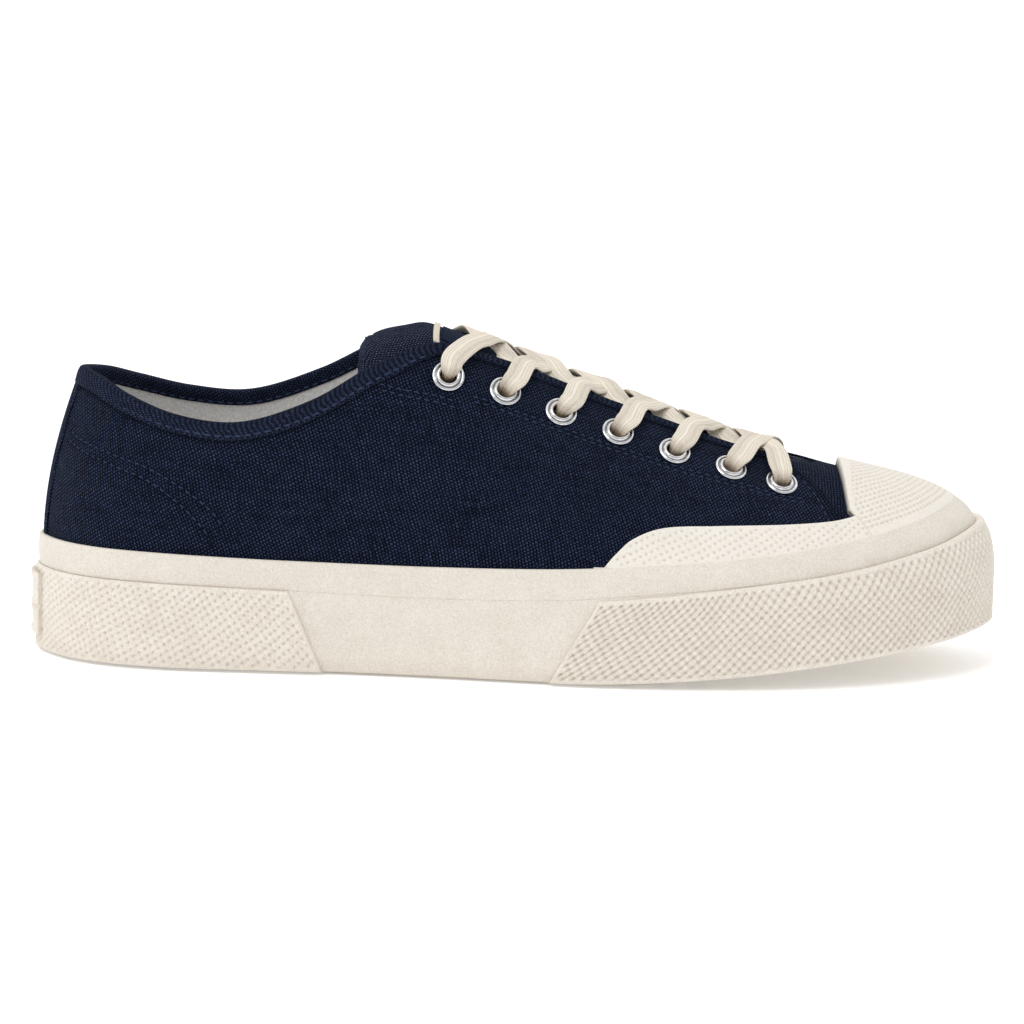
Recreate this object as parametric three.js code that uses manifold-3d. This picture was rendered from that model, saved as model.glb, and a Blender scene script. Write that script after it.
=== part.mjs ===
// A right-foot low canvas sneaker on a thick moulded rubber sole, standing empty and unbent.
// Millimetres, +Z up. X runs from heel to toe and +Y points to the inner side of the foot.
// The origin is on the floor, under the middle of the shoe's length and width.
//
// The upper is a band of ribs. Each rib is a cubic curve that climbs from the featherline, where the
// canvas meets the sole, to the topline, which is the collar and then the edge of the throat. Rand,
// strips, toe cap and toe guards are all offsets of that same surface, so they follow the last.
import * as THREE from "three";
import { mergeVertices } from "three/addons/utils/BufferGeometryUtils.js";
import Module from "manifold-3d";

const wasm = await Module();
wasm.setup();

// ---- Driving dimensions ------------------------------------------------------------------------
const LENGTH = 300; // heel patch to toe strip
const BALL_WIDTH = 100; // the last across the ball, outside the canvas
const INSTEP_HEIGHT = 100; // floor to the top corner of the throat
const FIT_GAP = 0.3; // between neighbouring pieces

const CANVAS_WALL = 2.0; // canvas, backing cloth and lining
const RAND_WALL = 1.6; // smooth rubber band round the foot of the upper
const CAP_WALL = 1.7; // toe cap
const GUARD_WALL = 1.3; // toe guards
const HEEL_STRIP_WALL = 1.2;
const TOE_STRIP_WALL = 2.3;
const PATCH_WALL = 1.1;

const TREAD_HEIGHT = 5; // outsole sheet
const TREAD_INSET = 1.4; // outsole edge inside the featherline
const RIM_CLEARANCE = 0.8; // the sole's side wall stops this far above the floor
const EDGE_BEVEL = 1.4; // round of the sole's lower edge
const SPRING_START = 20; // where the sole leaves the floor towards the toe
const SPRING_SLOPE = 0.145; // lift per millimetre under the toe
const SPRING_EASE = 40; // length over which that slope builds up

const INSOLE_THICKNESS = 3.5;
const TONGUE_THICKNESS = 2.2;
const TONGUE_DEPTH = 3.6; // tongue face below the outside of the facings
const TONGUE_TUCK = 14; // how far the tongue reaches under each facing
const TONGUE_CROWN = 2.0; // rise of the tongue between the facings
const TONGUE_CROWN_REAR = 4.0; // and at the top corners of the throat

const EYELET_BORE = 2.4;
const EYELET_BARREL = 2.9;
const EYELET_FLANGE = 5;
const EYELET_HOLE = 3.35;

const LACE_WIDTH = 6.4;
const LACE_THICKNESS = 1.2;
const LACE_ON_FLANGE = 2.3; // lace centre line above the canvas at an eyelet
const LACE_SLANT = 0.0115; // how far towards the toe a lace goes before the edge, in turns of u
const LACE_ON_EDGE = 1.8; // and over the edge of a facing
const LACE_INSIDE_EDGE = 1.3; // and below that edge where it goes inside
const LACE_ON_TONGUE = [3.9, 1.9, 0.2, -0.2, -0.3, 0.1]; // crossing points against the edges

const STEPS_AT_ENDS = 3; // columns from rib to rib round the heel and toe
const STEPS_AT_SIDES = 2;
const UPPER_STEPS = 8;

// ---- The last, in short tables -----------------------------------------------------------------
// Rows go round the featherline from the heel seam along the outer side to the toe and back along
// the inner side. x is per cent of LENGTH from the middle, y of BALL_WIDTH, z of INSTEP_HEIGHT.
// flare and rise place the rib's lower handle outwards and upwards from its foot. reach and drop
// place its upper handle outwards and downwards from its top. Those four are millimetres.
const RIBS = table(
  ["foot_x", "foot_y", "flare", "rise", "reach", "drop", "top_x", "top_y", "top_z"],
  [
    [-48.45, 0, 2.1, 23.7, 6.5, 18, -44.85, 0, 87.5], // heel seam
    [-46.3, -15.5, 2.1, 23.5, 6.5, 17.5, -42.7, -11.5, 85.8],
    [-42, -27, 2.0, 23, 6.5, 17, -39.5, -20.3, 81.4],
    [-35.3, -33.5, 1.8, 22, 6, 16, -34.3, -26.8, 76.4],
    [-26.7, -35.2, 1.6, 21, 5.5, 16, -28, -29.8, 75], // lowest point of the collar
    [-16.7, -36.6, 1.5, 22, 5.5, 19, -20.7, -30, 82],
    [-7.3, -40, 1.5, 24, 9, 20, -14, -25.5, 93.5],
    [0.7, -44, 2.0, 25, 14, 16, -8.3, -17.5, 99.2], // top corner of the throat
    [8.3, -47.2, 2.6, 22, 15, 15.5, -1, -14, 93.7],
    [16, -48, 3, 19, 15.5, 14, 7.3, -13, 84.6], // ball, outer side
    [24, -46.4, 3, 18, 16, 12.5, 15.3, -12.5, 76.4],
    [31.7, -41.3, 2.8, 18, 16.5, 11, 22.3, -11.8, 69.4],
    [39, -31.5, 2.2, 20, 19.5, 9, 27.3, -10, 66],
    [44.9, -17, 1.5, 26, 25, 8, 30, -6, 64.6],
    [48.5, 5, 1.0, 30, 30, 8, 30.9, 0, 64.3], // toe tip
    [46.3, 24, 1.5, 26, 25, 8, 30, 6, 64.6],
    [41, 35.5, 2.2, 20, 19.5, 9, 27.3, 10, 66],
    [33.7, 43, 2.8, 18, 16.5, 11, 22.3, 11.8, 69.4],
    [25.7, 46.7, 3, 18, 16, 12.5, 15.3, 12.5, 76.4],
    [17.3, 47.6, 3, 19, 15.5, 14, 7.3, 13, 84.6], // ball, inner side
    [9, 43.6, 3.4, 22, 15, 15.5, -1, 14, 93.9],
    [1, 38, 4.0, 25, 13, 16, -8.3, 17.5, 100],
    [-7.3, 34, 4.0, 24, 8, 20, -14, 25.2, 95.2], // arch
    [-16.7, 32, 3.0, 22, 5.5, 19, -20.7, 29.5, 84.8],
    [-26.7, 32.6, 2.0, 21, 5.5, 16, -28, 29.3, 77.8],
    [-35.3, 32.8, 1.8, 22, 6, 16, -34.3, 26.4, 79],
    [-42, 27, 2.0, 23, 6.5, 17, -39.5, 20.1, 83],
    [-46.3, 15.5, 2.1, 23.5, 6.5, 17.5, -42.7, 11.5, 86.2],
  ],
);

// Heights of the sole's lines above the floor, by the featherline's x.
const SOLE_LINES = table(
  ["x", "feather", "strip_top", "rand_top"],
  [
    [-150, 24.2, 27.0, 36.4],
    [-110, 23.8, 26.8, 36.0],
    [-70, 23.0, 25.8, 34.8],
    [-30, 22.2, 24.9, 34.3],
    [10, 22.0, 26.0, 35.1],
    [40, 22.2, 28.4, 36.6],
    [70, 23.0, 31.0, 38.6],
    [100, 24.4, 34.4, 42.0],
    [125, 26.0, 39.2, 46.6],
    [148, 27.4, 45.2, 52.3],
  ],
);

// Upper edge of the toe guards.
const GUARD_TOP = table(
  ["x", "z"],
  [
    [27, 36.2],
    [30, 39.6],
    [35, 44],
    [44, 47.2],
    [60, 47.8],
    [84, 47.9],
    [97, 48.6],
    [106, 50.4],
  ],
);

// One row of eyelets. setback is from the eyelet's centre up to the throat's edge.
const EYELETS = table(
  ["x", "setback"],
  [
    [-21.2, 11.6],
    [-3.9, 14],
    [13.2, 15],
    [30.6, 14.6],
    [48, 15.2],
    [65.3, 15],
    [80.9, 17],
  ],
);

// The free end of the tongue, behind the top corners of the throat.
const TONGUE_END = table(
  ["x", "crest_z", "half_width", "side_z"],
  [
    [-49, 95.4, 17.5, 87.6],
    [-46.5, 98.9, 20.5, 87.6],
    [-42, 101.3, 21.6, 87.8],
    [-35, 103.0, 21.4, 88.4],
    [-29, 103.8, 20.4, 89.4],
  ],
);

const CAP_EDGE = { crest_x: 99.5, side_x: 103, half_width: 36 }; // the toe cap's rear edge
const GUARD_START_X = 29;
const HEEL_STRIP_FRONT = { bottom_x: -57, top_x: -70, behind: false };
const TOE_STRIP_REAR = { bottom_x: 11, top_x: 28, behind: true };
const PATCH = { half_width: 13, bottom_z: 3.2, top_z: 24.4 };
const GROOVES = { depth: 1.5, width: 2.6, heel: [-132, -78, 6], forefoot: [34, 124, 9] };
const SHANK_RECESS = { depth: 1.2, from_x: -62, to_x: -2, half_width: 22 };

// ---- Small helpers -----------------------------------------------------------------------------
function table(columns, rows) {
  return rows.map((row) => Object.fromEntries(columns.map((name, i) => [name, row[i]])));
}

function clamp01(value) {
  return Math.min(1, Math.max(0, value));
}

function smooth(value) {
  const s = clamp01(value);
  return s * s * (3 - 2 * s);
}

function mix(a, b, share) {
  return a + (b - a) * share;
}

function spread(count, make) {
  return Array.from({ length: count }, (_, i) => make(i));
}

// A column of a table at x, on a smooth curve through its rows.
function along(rows, column, x) {
  const last = rows.length - 1;
  const next = rows.findIndex((row) => row.x > x);
  if (next === 0) return rows[0][column];
  if (next < 0) return rows[last][column];
  const [r0, r1, r2, r3] = [next - 2, next - 1, next, next + 1].map(
    (i) => rows[Math.min(last, Math.max(0, i))],
  );
  const span = r2.x - r1.x;
  const s = (x - r1.x) / span;
  const m1 = ((r2[column] - r0[column]) / (r2.x - r0.x)) * span;
  const m2 = ((r3[column] - r1[column]) / (r3.x - r1.x)) * span;
  const [s2, s3] = [s * s, s * s * s];
  return (
    (2 * s3 - 3 * s2 + 1) * r1[column] +
    (s3 - 2 * s2 + s) * m1 +
    (3 * s2 - 2 * s3) * r2[column] +
    (s3 - s2) * m2
  );
}

// The share in [low, high] where a rising function reaches a value.
function solve(rising, value, low, high) {
  for (let i = 0; i < 40; i++) {
    const middle = (low + high) / 2;
    if (rising(middle) < value) low = middle;
    else high = middle;
  }
  return (low + high) / 2;
}

// ---- The upper's own surface -------------------------------------------------------------------
const ribCurves = makeRibCurves();

function makeRibCurves() {
  const feet = RIBS.map((rib) => {
    const x = (rib.foot_x * LENGTH) / 100;
    return new THREE.Vector3(x, (rib.foot_y * BALL_WIDTH) / 100, along(SOLE_LINES, "feather", x));
  });
  const tops = RIBS.map(
    (rib) =>
      new THREE.Vector3(
        (rib.top_x * LENGTH) / 100,
        (rib.top_y * BALL_WIDTH) / 100,
        (rib.top_z * INSTEP_HEIGHT) / 100,
      ),
  );
  const footCurve = closedCurve(feet);
  const lows = RIBS.map((rib, i) => {
    const out = outwards(footCurve.getTangent(i / RIBS.length));
    return feet[i].clone().addScaledVector(out, rib.flare).add(new THREE.Vector3(0, 0, rib.rise));
  });
  const highs = RIBS.map((rib, i) => {
    const way = feet[i].clone().sub(tops[i]).setZ(0).normalize();
    return tops[i].clone().addScaledVector(way, rib.reach).add(new THREE.Vector3(0, 0, -rib.drop));
  });
  return { foot: footCurve, low: closedCurve(lows), high: closedCurve(highs), top: closedCurve(tops) };
}

function closedCurve(points) {
  return new THREE.CatmullRomCurve3(points, true, "centripetal");
}

// The horizontal direction away from the foot, for a tangent that runs heel, outer side, toe.
function outwards(tangent) {
  return new THREE.Vector3(tangent.y, -tangent.x, 0).normalize();
}

function wrap(u) {
  return u - Math.floor(u);
}

// A point of the outside of the canvas: u goes once round the shoe, t from featherline to topline.
function skin(u, t) {
  const s = wrap(u);
  const r = 1 - t;
  return ribCurves.foot
    .getPoint(s)
    .multiplyScalar(r * r * r)
    .addScaledVector(ribCurves.low.getPoint(s), 3 * r * r * t)
    .addScaledVector(ribCurves.high.getPoint(s), 3 * r * t * t)
    .addScaledVector(ribCurves.top.getPoint(s), t * t * t);
}

function skinNormal(u, t) {
  const [du, dt] = [1e-3, 1e-2];
  const round = skin(u + du, t).sub(skin(u - du, t));
  const up = skin(u, Math.min(1, t + dt)).sub(skin(u, Math.max(0, t - dt)));
  return round.cross(up).normalize();
}

function offsetSkin(u, t, distance) {
  return skin(u, t).addScaledVector(skinNormal(u, t), distance);
}

function tAtHeight(u, z) {
  return solve((t) => skin(u, t).z, z, 0, 0.75);
}

// The rib whose foot is at x, on the outer side (side -1) or the inner side (side 1).
function ribAtFoot(x, side) {
  const share = solve((s) => ribCurves.foot.getPoint(s).x, x, 0, 0.5);
  return side < 0 ? share : 1 - solve((s) => ribCurves.foot.getPoint(1 - s).x, x, 0, 0.5);
}

// t at a distance down the rib from its top.
function tBelowTop(u, distance) {
  let [t, gone, last] = [1, 0, skin(u, 1)];
  while (gone < distance) {
    t -= 0.004;
    const next = skin(u, t);
    gone += next.distanceTo(last);
    last = next;
  }
  return t;
}

// The sole's underside rises towards the toe.
function floorLine(x) {
  const ahead = Math.max(0, x - SPRING_START);
  return SPRING_SLOPE * (Math.hypot(ahead, SPRING_EASE) - SPRING_EASE);
}

function heightsAt(u) {
  const x = ribCurves.foot.getPoint(wrap(u)).x;
  return {
    floor: floorLine(x),
    feather: along(SOLE_LINES, "feather", x),
    strip: along(SOLE_LINES, "strip_top", x),
    rand: along(SOLE_LINES, "rand_top", x),
  };
}

// A point on the side of the shoe at height z and a distance outside the canvas. Below the
// featherline the wall drops straight down, and above it follows the upper.
function sidePoint(u, z, distance) {
  const s = wrap(u);
  const foot = ribCurves.foot.getPoint(s);
  const out = outwards(ribCurves.foot.getTangent(s));
  if (z <= foot.z) return foot.clone().setZ(z).addScaledVector(out, distance);
  const t = tAtHeight(s, z);
  const way = out.lerp(skinNormal(s, t), smooth((z - foot.z) / 8)).normalize();
  return skin(s, t).addScaledVector(way, distance);
}

// ---- Solids from grids of points ---------------------------------------------------------------
function geometryFrom(points, triangles) {
  const geometry = new THREE.BufferGeometry();
  geometry.setAttribute(
    "position",
    new THREE.BufferAttribute(new Float32Array(points.flatMap((p) => p.toArray())), 3),
  );
  geometry.setIndex(triangles);
  return geometry;
}

function quad(triangles, a, b, c, d) {
  triangles.push(a, b, c, a, c, d);
}

// A thick patch: outer[i][k] and inner[i][k], with i round the shoe and k upwards.
function slab(outer, inner, closed = false) {
  const [rows, cols] = [outer.length, outer[0].length];
  const points = [...outer.flat(), ...inner.flat()];
  const out = (i, k) => (i % rows) * cols + k;
  const inn = (i, k) => rows * cols + out(i, k);
  const triangles = [];
  for (let i = 0; i < (closed ? rows : rows - 1); i++) {
    for (let k = 0; k < cols - 1; k++) {
      quad(triangles, out(i, k), out(i + 1, k), out(i + 1, k + 1), out(i, k + 1));
      quad(triangles, inn(i, k), inn(i, k + 1), inn(i + 1, k + 1), inn(i + 1, k));
    }
    quad(triangles, out(i, cols - 1), out(i + 1, cols - 1), inn(i + 1, cols - 1), inn(i, cols - 1));
    quad(triangles, inn(i, 0), inn(i + 1, 0), out(i + 1, 0), out(i, 0));
  }
  for (let k = 0; k < cols - 1 && !closed; k++) {
    quad(triangles, out(0, k), out(0, k + 1), inn(0, k + 1), inn(0, k));
    const end = rows - 1;
    quad(triangles, out(end, k), inn(end, k), inn(end, k + 1), out(end, k + 1));
  }
  return geometryFrom(points, triangles);
}

// A solid from level rings that climb its outside, closed at both ends by rungs across the shoe.
function stack(rings) {
  const size = rings[0].length;
  const points = rings.flat();
  const at = (j, i) => j * size + ((i + size) % size);
  const triangles = [];
  for (let j = 0; j < rings.length - 1; j++)
    for (let i = 0; i < size; i++) quad(triangles, at(j, i), at(j, i + 1), at(j + 1, i + 1), at(j + 1, i));
  const top = rings.length - 1;
  triangles.push(at(0, 0), at(0, -1), at(0, 1), at(top, 0), at(top, 1), at(top, -1));
  const half = size / 2;
  for (let i = 1; i < half - 1; i++) {
    quad(triangles, at(0, i), at(0, -i), at(0, -i - 1), at(0, i + 1));
    quad(triangles, at(top, i), at(top, i + 1), at(top, -i - 1), at(top, -i));
  }
  triangles.push(at(0, half - 1), at(0, half + 1), at(0, half));
  triangles.push(at(top, half - 1), at(top, half), at(top, half + 1));
  return geometryFrom(points, triangles);
}

// Column positions round the shoe, closer together round the heel and toe. They pair up across the
// shoe: column i lies opposite column -i.
const COLUMNS = RIBS.flatMap((_, rib) => {
  const fromEnd = Math.min(rib, RIBS.length - 1 - rib);
  const atSide = fromEnd >= 4 && fromEnd < 12;
  const steps = atSide ? STEPS_AT_SIDES : STEPS_AT_ENDS;
  return spread(steps, (i) => (rib + i / steps) / RIBS.length);
});

function ring(make) {
  return COLUMNS.map(make);
}

// The column positions between two ribs, with both ends. A negative position is behind the heel.
function columnsBetween(first, last) {
  const margin = 0.004;
  const around = [...COLUMNS.map((u) => u - 1), ...COLUMNS];
  return [first, ...around.filter((u) => u > first + margin && u < last - margin), last];
}

// ---- Joining and cutting -----------------------------------------------------------------------
function solidOf(geometry) {
  const bare = geometry.index ? geometry.clone() : geometry;
  for (const name of ["normal", "uv"]) bare.deleteAttribute(name);
  const merged = mergeVertices(bare, 1e-4);
  return new wasm.Manifold(
    new wasm.Mesh({
      numProp: 3,
      vertProperties: merged.attributes.position.array,
      triVerts: new Uint32Array(merged.index.array),
    }),
  );
}

function geometryOf(solid) {
  const mesh = solid.getMesh();
  const geometry = new THREE.BufferGeometry();
  geometry.setAttribute("position", new THREE.BufferAttribute(mesh.vertProperties, 3));
  geometry.setIndex(new THREE.BufferAttribute(mesh.triVerts, 1));
  return geometry;
}

// ---- Sole --------------------------------------------------------------------------------------
function outsole() {
  const edge = (z, inset) =>
    ring((u) => sidePoint(u, heightsAt(u).floor + z, -TREAD_INSET - FIT_GAP - inset));
  let solid = solidOf(stack([edge(0, 0.8), edge(0.8, 0), edge(TREAD_HEIGHT, 0)]));
  for (const [from, to, count] of [GROOVES.heel, GROOVES.forefoot])
    for (const x of spread(count, (i) => mix(from, to, i / (count - 1))))
      solid = solid.subtract(solidOf(grooveBar(x)));
  const { depth, from_x, to_x, half_width } = SHANK_RECESS;
  const recess = new THREE.BoxGeometry(to_x - from_x, 2 * half_width, 2 * depth);
  return geometryOf(solid.subtract(solidOf(recess.translate((from_x + to_x) / 2, 0, 0))));
}

// A straight bar across the tread, turned to lie along the underside where it rises.
function grooveBar(x) {
  const slope = Math.atan2(floorLine(x + 1) - floorLine(x - 1), 2);
  const bar = new THREE.BoxGeometry(GROOVES.width, 1.3 * BALL_WIDTH, 2 * GROOVES.depth);
  return bar.rotateY(-slope).translate(x, 0, floorLine(x));
}

function midsole() {
  const side = (z, distance) => ring((u) => sidePoint(u, z(heightsAt(u)), distance));
  const outer = FIT_GAP + RAND_WALL;
  const floorUp = (rise) => (h) => h.floor + rise;
  const roof = TREAD_HEIGHT + FIT_GAP;
  return stack([
    side(floorUp(roof), -TREAD_INSET),
    side(floorUp(RIM_CLEARANCE), -TREAD_INSET),
    side(floorUp(RIM_CLEARANCE), outer - EDGE_BEVEL),
    side(floorUp(RIM_CLEARANCE + EDGE_BEVEL), outer),
    side((h) => h.feather, outer),
    side((h) => mix(h.feather, h.strip, 0.5), outer),
    side((h) => h.strip, outer),
    side((h) => h.strip, FIT_GAP),
    side((h) => mix(h.feather, h.strip, 0.5), FIT_GAP + 0.2),
    side((h) => h.feather - FIT_GAP, FIT_GAP),
  ]);
}

function insole() {
  const inset = CANVAS_WALL + 2 * FIT_GAP;
  const edge = (rise, more) =>
    ring((u) => sidePoint(u, heightsAt(u).feather, -inset - more).add(new THREE.Vector3(0, 0, rise)));
  return stack([edge(0, 0), edge(INSOLE_THICKNESS - 0.8, 0), edge(INSOLE_THICKNESS, 0.8)]);
}

function rand() {
  const column = (u, distance) => {
    const h = heightsAt(u);
    const low = h.strip + FIT_GAP;
    const middle = sidePoint(u, mix(low, h.rand, 0.5), distance + 0.1);
    return [sidePoint(u, low, distance), middle, sidePoint(u, h.rand, distance)];
  };
  return slab(
    ring((u) => column(u, FIT_GAP + RAND_WALL)),
    ring((u) => column(u, FIT_GAP)),
    true,
  );
}

// ---- Overlays on the side of the sole ----------------------------------------------------------
// A strip round the sole between two ribs, with its ends sloped by a cut through both sides.
function soleStrip(first, last, wall, endLine) {
  const inner = 2 * FIT_GAP + RAND_WALL;
  const foot = RIM_CLEARANCE + 0.2;
  const levels = [
    { height: (h) => h.floor + foot, sunk: 0.7 },
    { height: (h) => h.floor + foot + 1.4, sunk: 0 },
    { height: (h) => h.feather, sunk: 0.05 },
    { height: (h) => mix(h.feather, h.strip, 0.5), sunk: 0.3 },
    { height: (h) => h.strip, sunk: 0.7 },
  ];
  const face = (distance) =>
    columnsBetween(first, last).map((u) =>
      levels.map(({ height, sunk }) => sidePoint(u, height(heightsAt(u)), distance(u, sunk))),
    );
  const strip = slab(
    face((u, sunk) => inner + wall(u) - sunk),
    face(() => inner),
  );
  return geometryOf(solidOf(strip).subtract(solidOf(slopedCut(endLine))));
}

// A block across the whole shoe whose face leans from bottom_x at the floor to top_x.
function slopedCut({ bottom_x, top_x, behind }) {
  const height = 30;
  const lean = Math.atan2(top_x - bottom_x, height);
  const block = new THREE.BoxGeometry(30, 2 * BALL_WIDTH, 2 * height);
  block.translate(behind ? -15 : 15, 0, 0);
  return block.rotateY(lean).translate(mix(bottom_x, top_x, 0.5), 0, height / 2);
}

function heelStrip() {
  const x = HEEL_STRIP_FRONT.bottom_x + 3;
  return soleStrip(ribAtFoot(x, 1) - 1, ribAtFoot(x, -1), () => HEEL_STRIP_WALL, HEEL_STRIP_FRONT);
}

function toeStrip() {
  const x = TOE_STRIP_REAR.bottom_x - 2;
  const wall = (u) => {
    const ahead = ribCurves.foot.getPoint(wrap(u)).x - TOE_STRIP_REAR.top_x;
    return mix(HEEL_STRIP_WALL, TOE_STRIP_WALL, smooth(ahead / 90));
  };
  return soleStrip(ribAtFoot(x, -1), ribAtFoot(x, 1), wall, TOE_STRIP_REAR);
}

function heelPatch() {
  const base = 3 * FIT_GAP + RAND_WALL + HEEL_STRIP_WALL;
  const reach = solve((s) => -ribCurves.foot.getPoint(s).y, PATCH.half_width, 0, 0.1);
  const face = (distance) =>
    spread(7, (i) =>
      spread(3, (k) => sidePoint(mix(-reach, reach, i / 6), mix(PATCH.bottom_z, PATCH.top_z, k / 2), distance)),
    );
  return slab(face(base + PATCH_WALL), face(base));
}

// ---- Overlays on the upper ---------------------------------------------------------------------
// A patch of the upper's surface on given columns; low(u) and high(u) give its t limits.
function skinPatch(columns, rows, wall, low, high) {
  const limits = columns.map((u) => [u, low(u), high(u)]);
  const face = (distance) =>
    limits.map(([u, t0, t1]) => spread(rows + 1, (k) => offsetSkin(u, mix(t0, t1, k / rows), distance)));
  return slab(face(FIT_GAP + wall), face(FIT_GAP));
}

function aboveRand(u) {
  return tAtHeight(u, heightsAt(u).rand + FIT_GAP + 0.15);
}

// Where a rib crosses the toe cap's rear edge, which bows forward at the sides.
function capEdge(u) {
  const edgeX = (y) => {
    const share = Math.min(1, Math.abs(y) / CAP_EDGE.half_width);
    return mix(CAP_EDGE.crest_x, CAP_EDGE.side_x, share * share);
  };
  const behind = (t) => {
    const p = skin(u, t);
    return edgeX(p.y) - p.x;
  };
  return solve(behind, 0, 0.1, 0.99);
}

// The rib that parts the toe cap from a guard, through the corner where both meet the canvas.
function capRib(side) {
  const cornerZ = along(GUARD_TOP, "z", CAP_EDGE.side_x);
  const cornerX = (s) => skin(side < 0 ? s : 1 - s, tAtHeight(side < 0 ? s : 1 - s, cornerZ)).x;
  const share = solve(cornerX, CAP_EDGE.side_x, 0.3, 0.48);
  return side < 0 ? share : 1 - share;
}

function toeCap() {
  const clear = 0.0006;
  const [first, last] = [capRib(-1) + clear, capRib(1) - clear];
  return skinPatch(columnsBetween(first, last), 7, CAP_WALL, aboveRand, capEdge);
}

function toeGuard(side) {
  const clear = 0.0006;
  const topOfGuard = (u) => {
    const t = solve((s) => skin(u, s).z - along(GUARD_TOP, "z", skin(u, s).x), 0, 0, 0.7);
    return Math.max(aboveRand(u) + 0.02, t);
  };
  // Columns gather at the rear end, where the top edge turns down.
  const [rear, front] = [ribAtFoot(GUARD_START_X, side), capRib(side) + side * clear];
  const columns = spread(15, (i) => mix(rear, front, Math.pow(i / 14, 1.5)));
  if (side > 0) columns.reverse();
  return skinPatch(columns, 3, GUARD_WALL, aboveRand, topOfGuard);
}

// ---- Upper, tongue and eyelets -----------------------------------------------------------------
function eyeletRib({ x, setback }, side) {
  const rib = (s) => (side < 0 ? s : 1 - s);
  const reached = (s) => skin(rib(s), tBelowTop(rib(s), setback)).x;
  return rib(solve(reached, x, 0.22, 0.46));
}

function eyeletSeats() {
  return [-1, 1].flatMap((side) =>
    EYELETS.map((place, row) => {
      const u = eyeletRib(place, side);
      const t = tBelowTop(u, place.setback);
      return { side, row, u, centre: skin(u, t), normal: skinNormal(u, t) };
    }),
  );
}

// Turns a shape made round the Y axis to stand on the upper at a seat.
function standOn(geometry, seat) {
  const turn = new THREE.Quaternion().setFromUnitVectors(new THREE.Vector3(0, 1, 0), seat.normal);
  return geometry.applyQuaternion(turn).translate(...seat.centre.toArray());
}

function upper(seats) {
  const levels = (make) => spread(UPPER_STEPS + 1, (k) => make(k / UPPER_STEPS));
  const outer = ring((u) => levels((t) => offsetSkin(u, t, 0)));
  const inner = ring((u) => levels((t) => offsetSkin(u, t, -CANVAS_WALL)));
  let solid = solidOf(slab(outer, inner, true));
  for (const seat of seats)
    solid = solid.subtract(solidOf(standOn(new THREE.CylinderGeometry(EYELET_HOLE, EYELET_HOLE, 9, 8), seat)));
  return geometryOf(solid);
}

function eyelet(seat) {
  const foot = -CANVAS_WALL - 0.5;
  const profile = [
    [EYELET_BORE, foot],
    [EYELET_BARREL, foot],
    [EYELET_BARREL, FIT_GAP],
    [EYELET_FLANGE, FIT_GAP],
    [EYELET_BORE, FIT_GAP + 0.9],
    [EYELET_BORE, foot],
  ];
  const lathe = new THREE.LatheGeometry(
    profile.map(([r, y]) => new THREE.Vector2(r, y)),
    12,
  );
  return standOn(lathe, seat);
}

// One cross-section of the tongue: points from the outer side to the inner side.
function tongueSection(marks, steps) {
  const curve = new THREE.CatmullRomCurve3(marks);
  return spread(steps + 1, (i) => curve.getPoint(i / steps));
}

function tongueInThroat(rib) {
  const [outerSide, innerSide] = [rib / RIBS.length, 1 - rib / RIBS.length];
  const under = (u, distance) => offsetSkin(u, tBelowTop(u, distance), -TONGUE_DEPTH);
  const [a, b] = [under(outerSide, 0.02), under(innerSide, 0.02)];
  const rear = mix(TONGUE_CROWN_REAR, TONGUE_CROWN, smooth((rib - 7.4) / 1.6));
  const crown = rear * (1 - 0.8 * smooth((rib - 11.5) / 1.9));
  const crest = a.clone().lerp(b, 0.5).add(new THREE.Vector3(0, 0, crown));
  return [under(outerSide, TONGUE_TUCK), under(outerSide, TONGUE_TUCK / 2), a, crest, b].concat([
    under(innerSide, TONGUE_TUCK / 2),
    under(innerSide, TONGUE_TUCK),
  ]);
}

function tongueAtEnd({ x, crest_z, half_width, side_z }) {
  return [-1, -0.8, -0.5, 0, 0.5, 0.8, 1].map((share) => {
    const z = mix(crest_z, side_z, Math.pow(Math.abs(share), 2.2));
    return new THREE.Vector3(x, share * half_width, z);
  });
}

function tongue() {
  const throatRibs = [7.4, 8, 8.6, 9.2, 9.8, 10.4, 11, 11.6, 12.2, 12.8, 13.4];
  const marks = [...TONGUE_END.map(tongueAtEnd), ...throatRibs.map(tongueInThroat)];
  const top = marks.map((row) => tongueSection(row, 10));
  const bottom = top.map((row, i) =>
    row.map((p, k) => {
      const lengthways = top[Math.min(top.length - 1, i + 1)][k].clone().sub(top[Math.max(0, i - 1)][k]);
      const across = row[Math.min(row.length - 1, k + 1)].clone().sub(row[Math.max(0, k - 1)]);
      const normal = lengthways.cross(across).normalize();
      return p.clone().addScaledVector(normal, -TONGUE_THICKNESS);
    }),
  );
  return slab(top, bottom);
}

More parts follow.
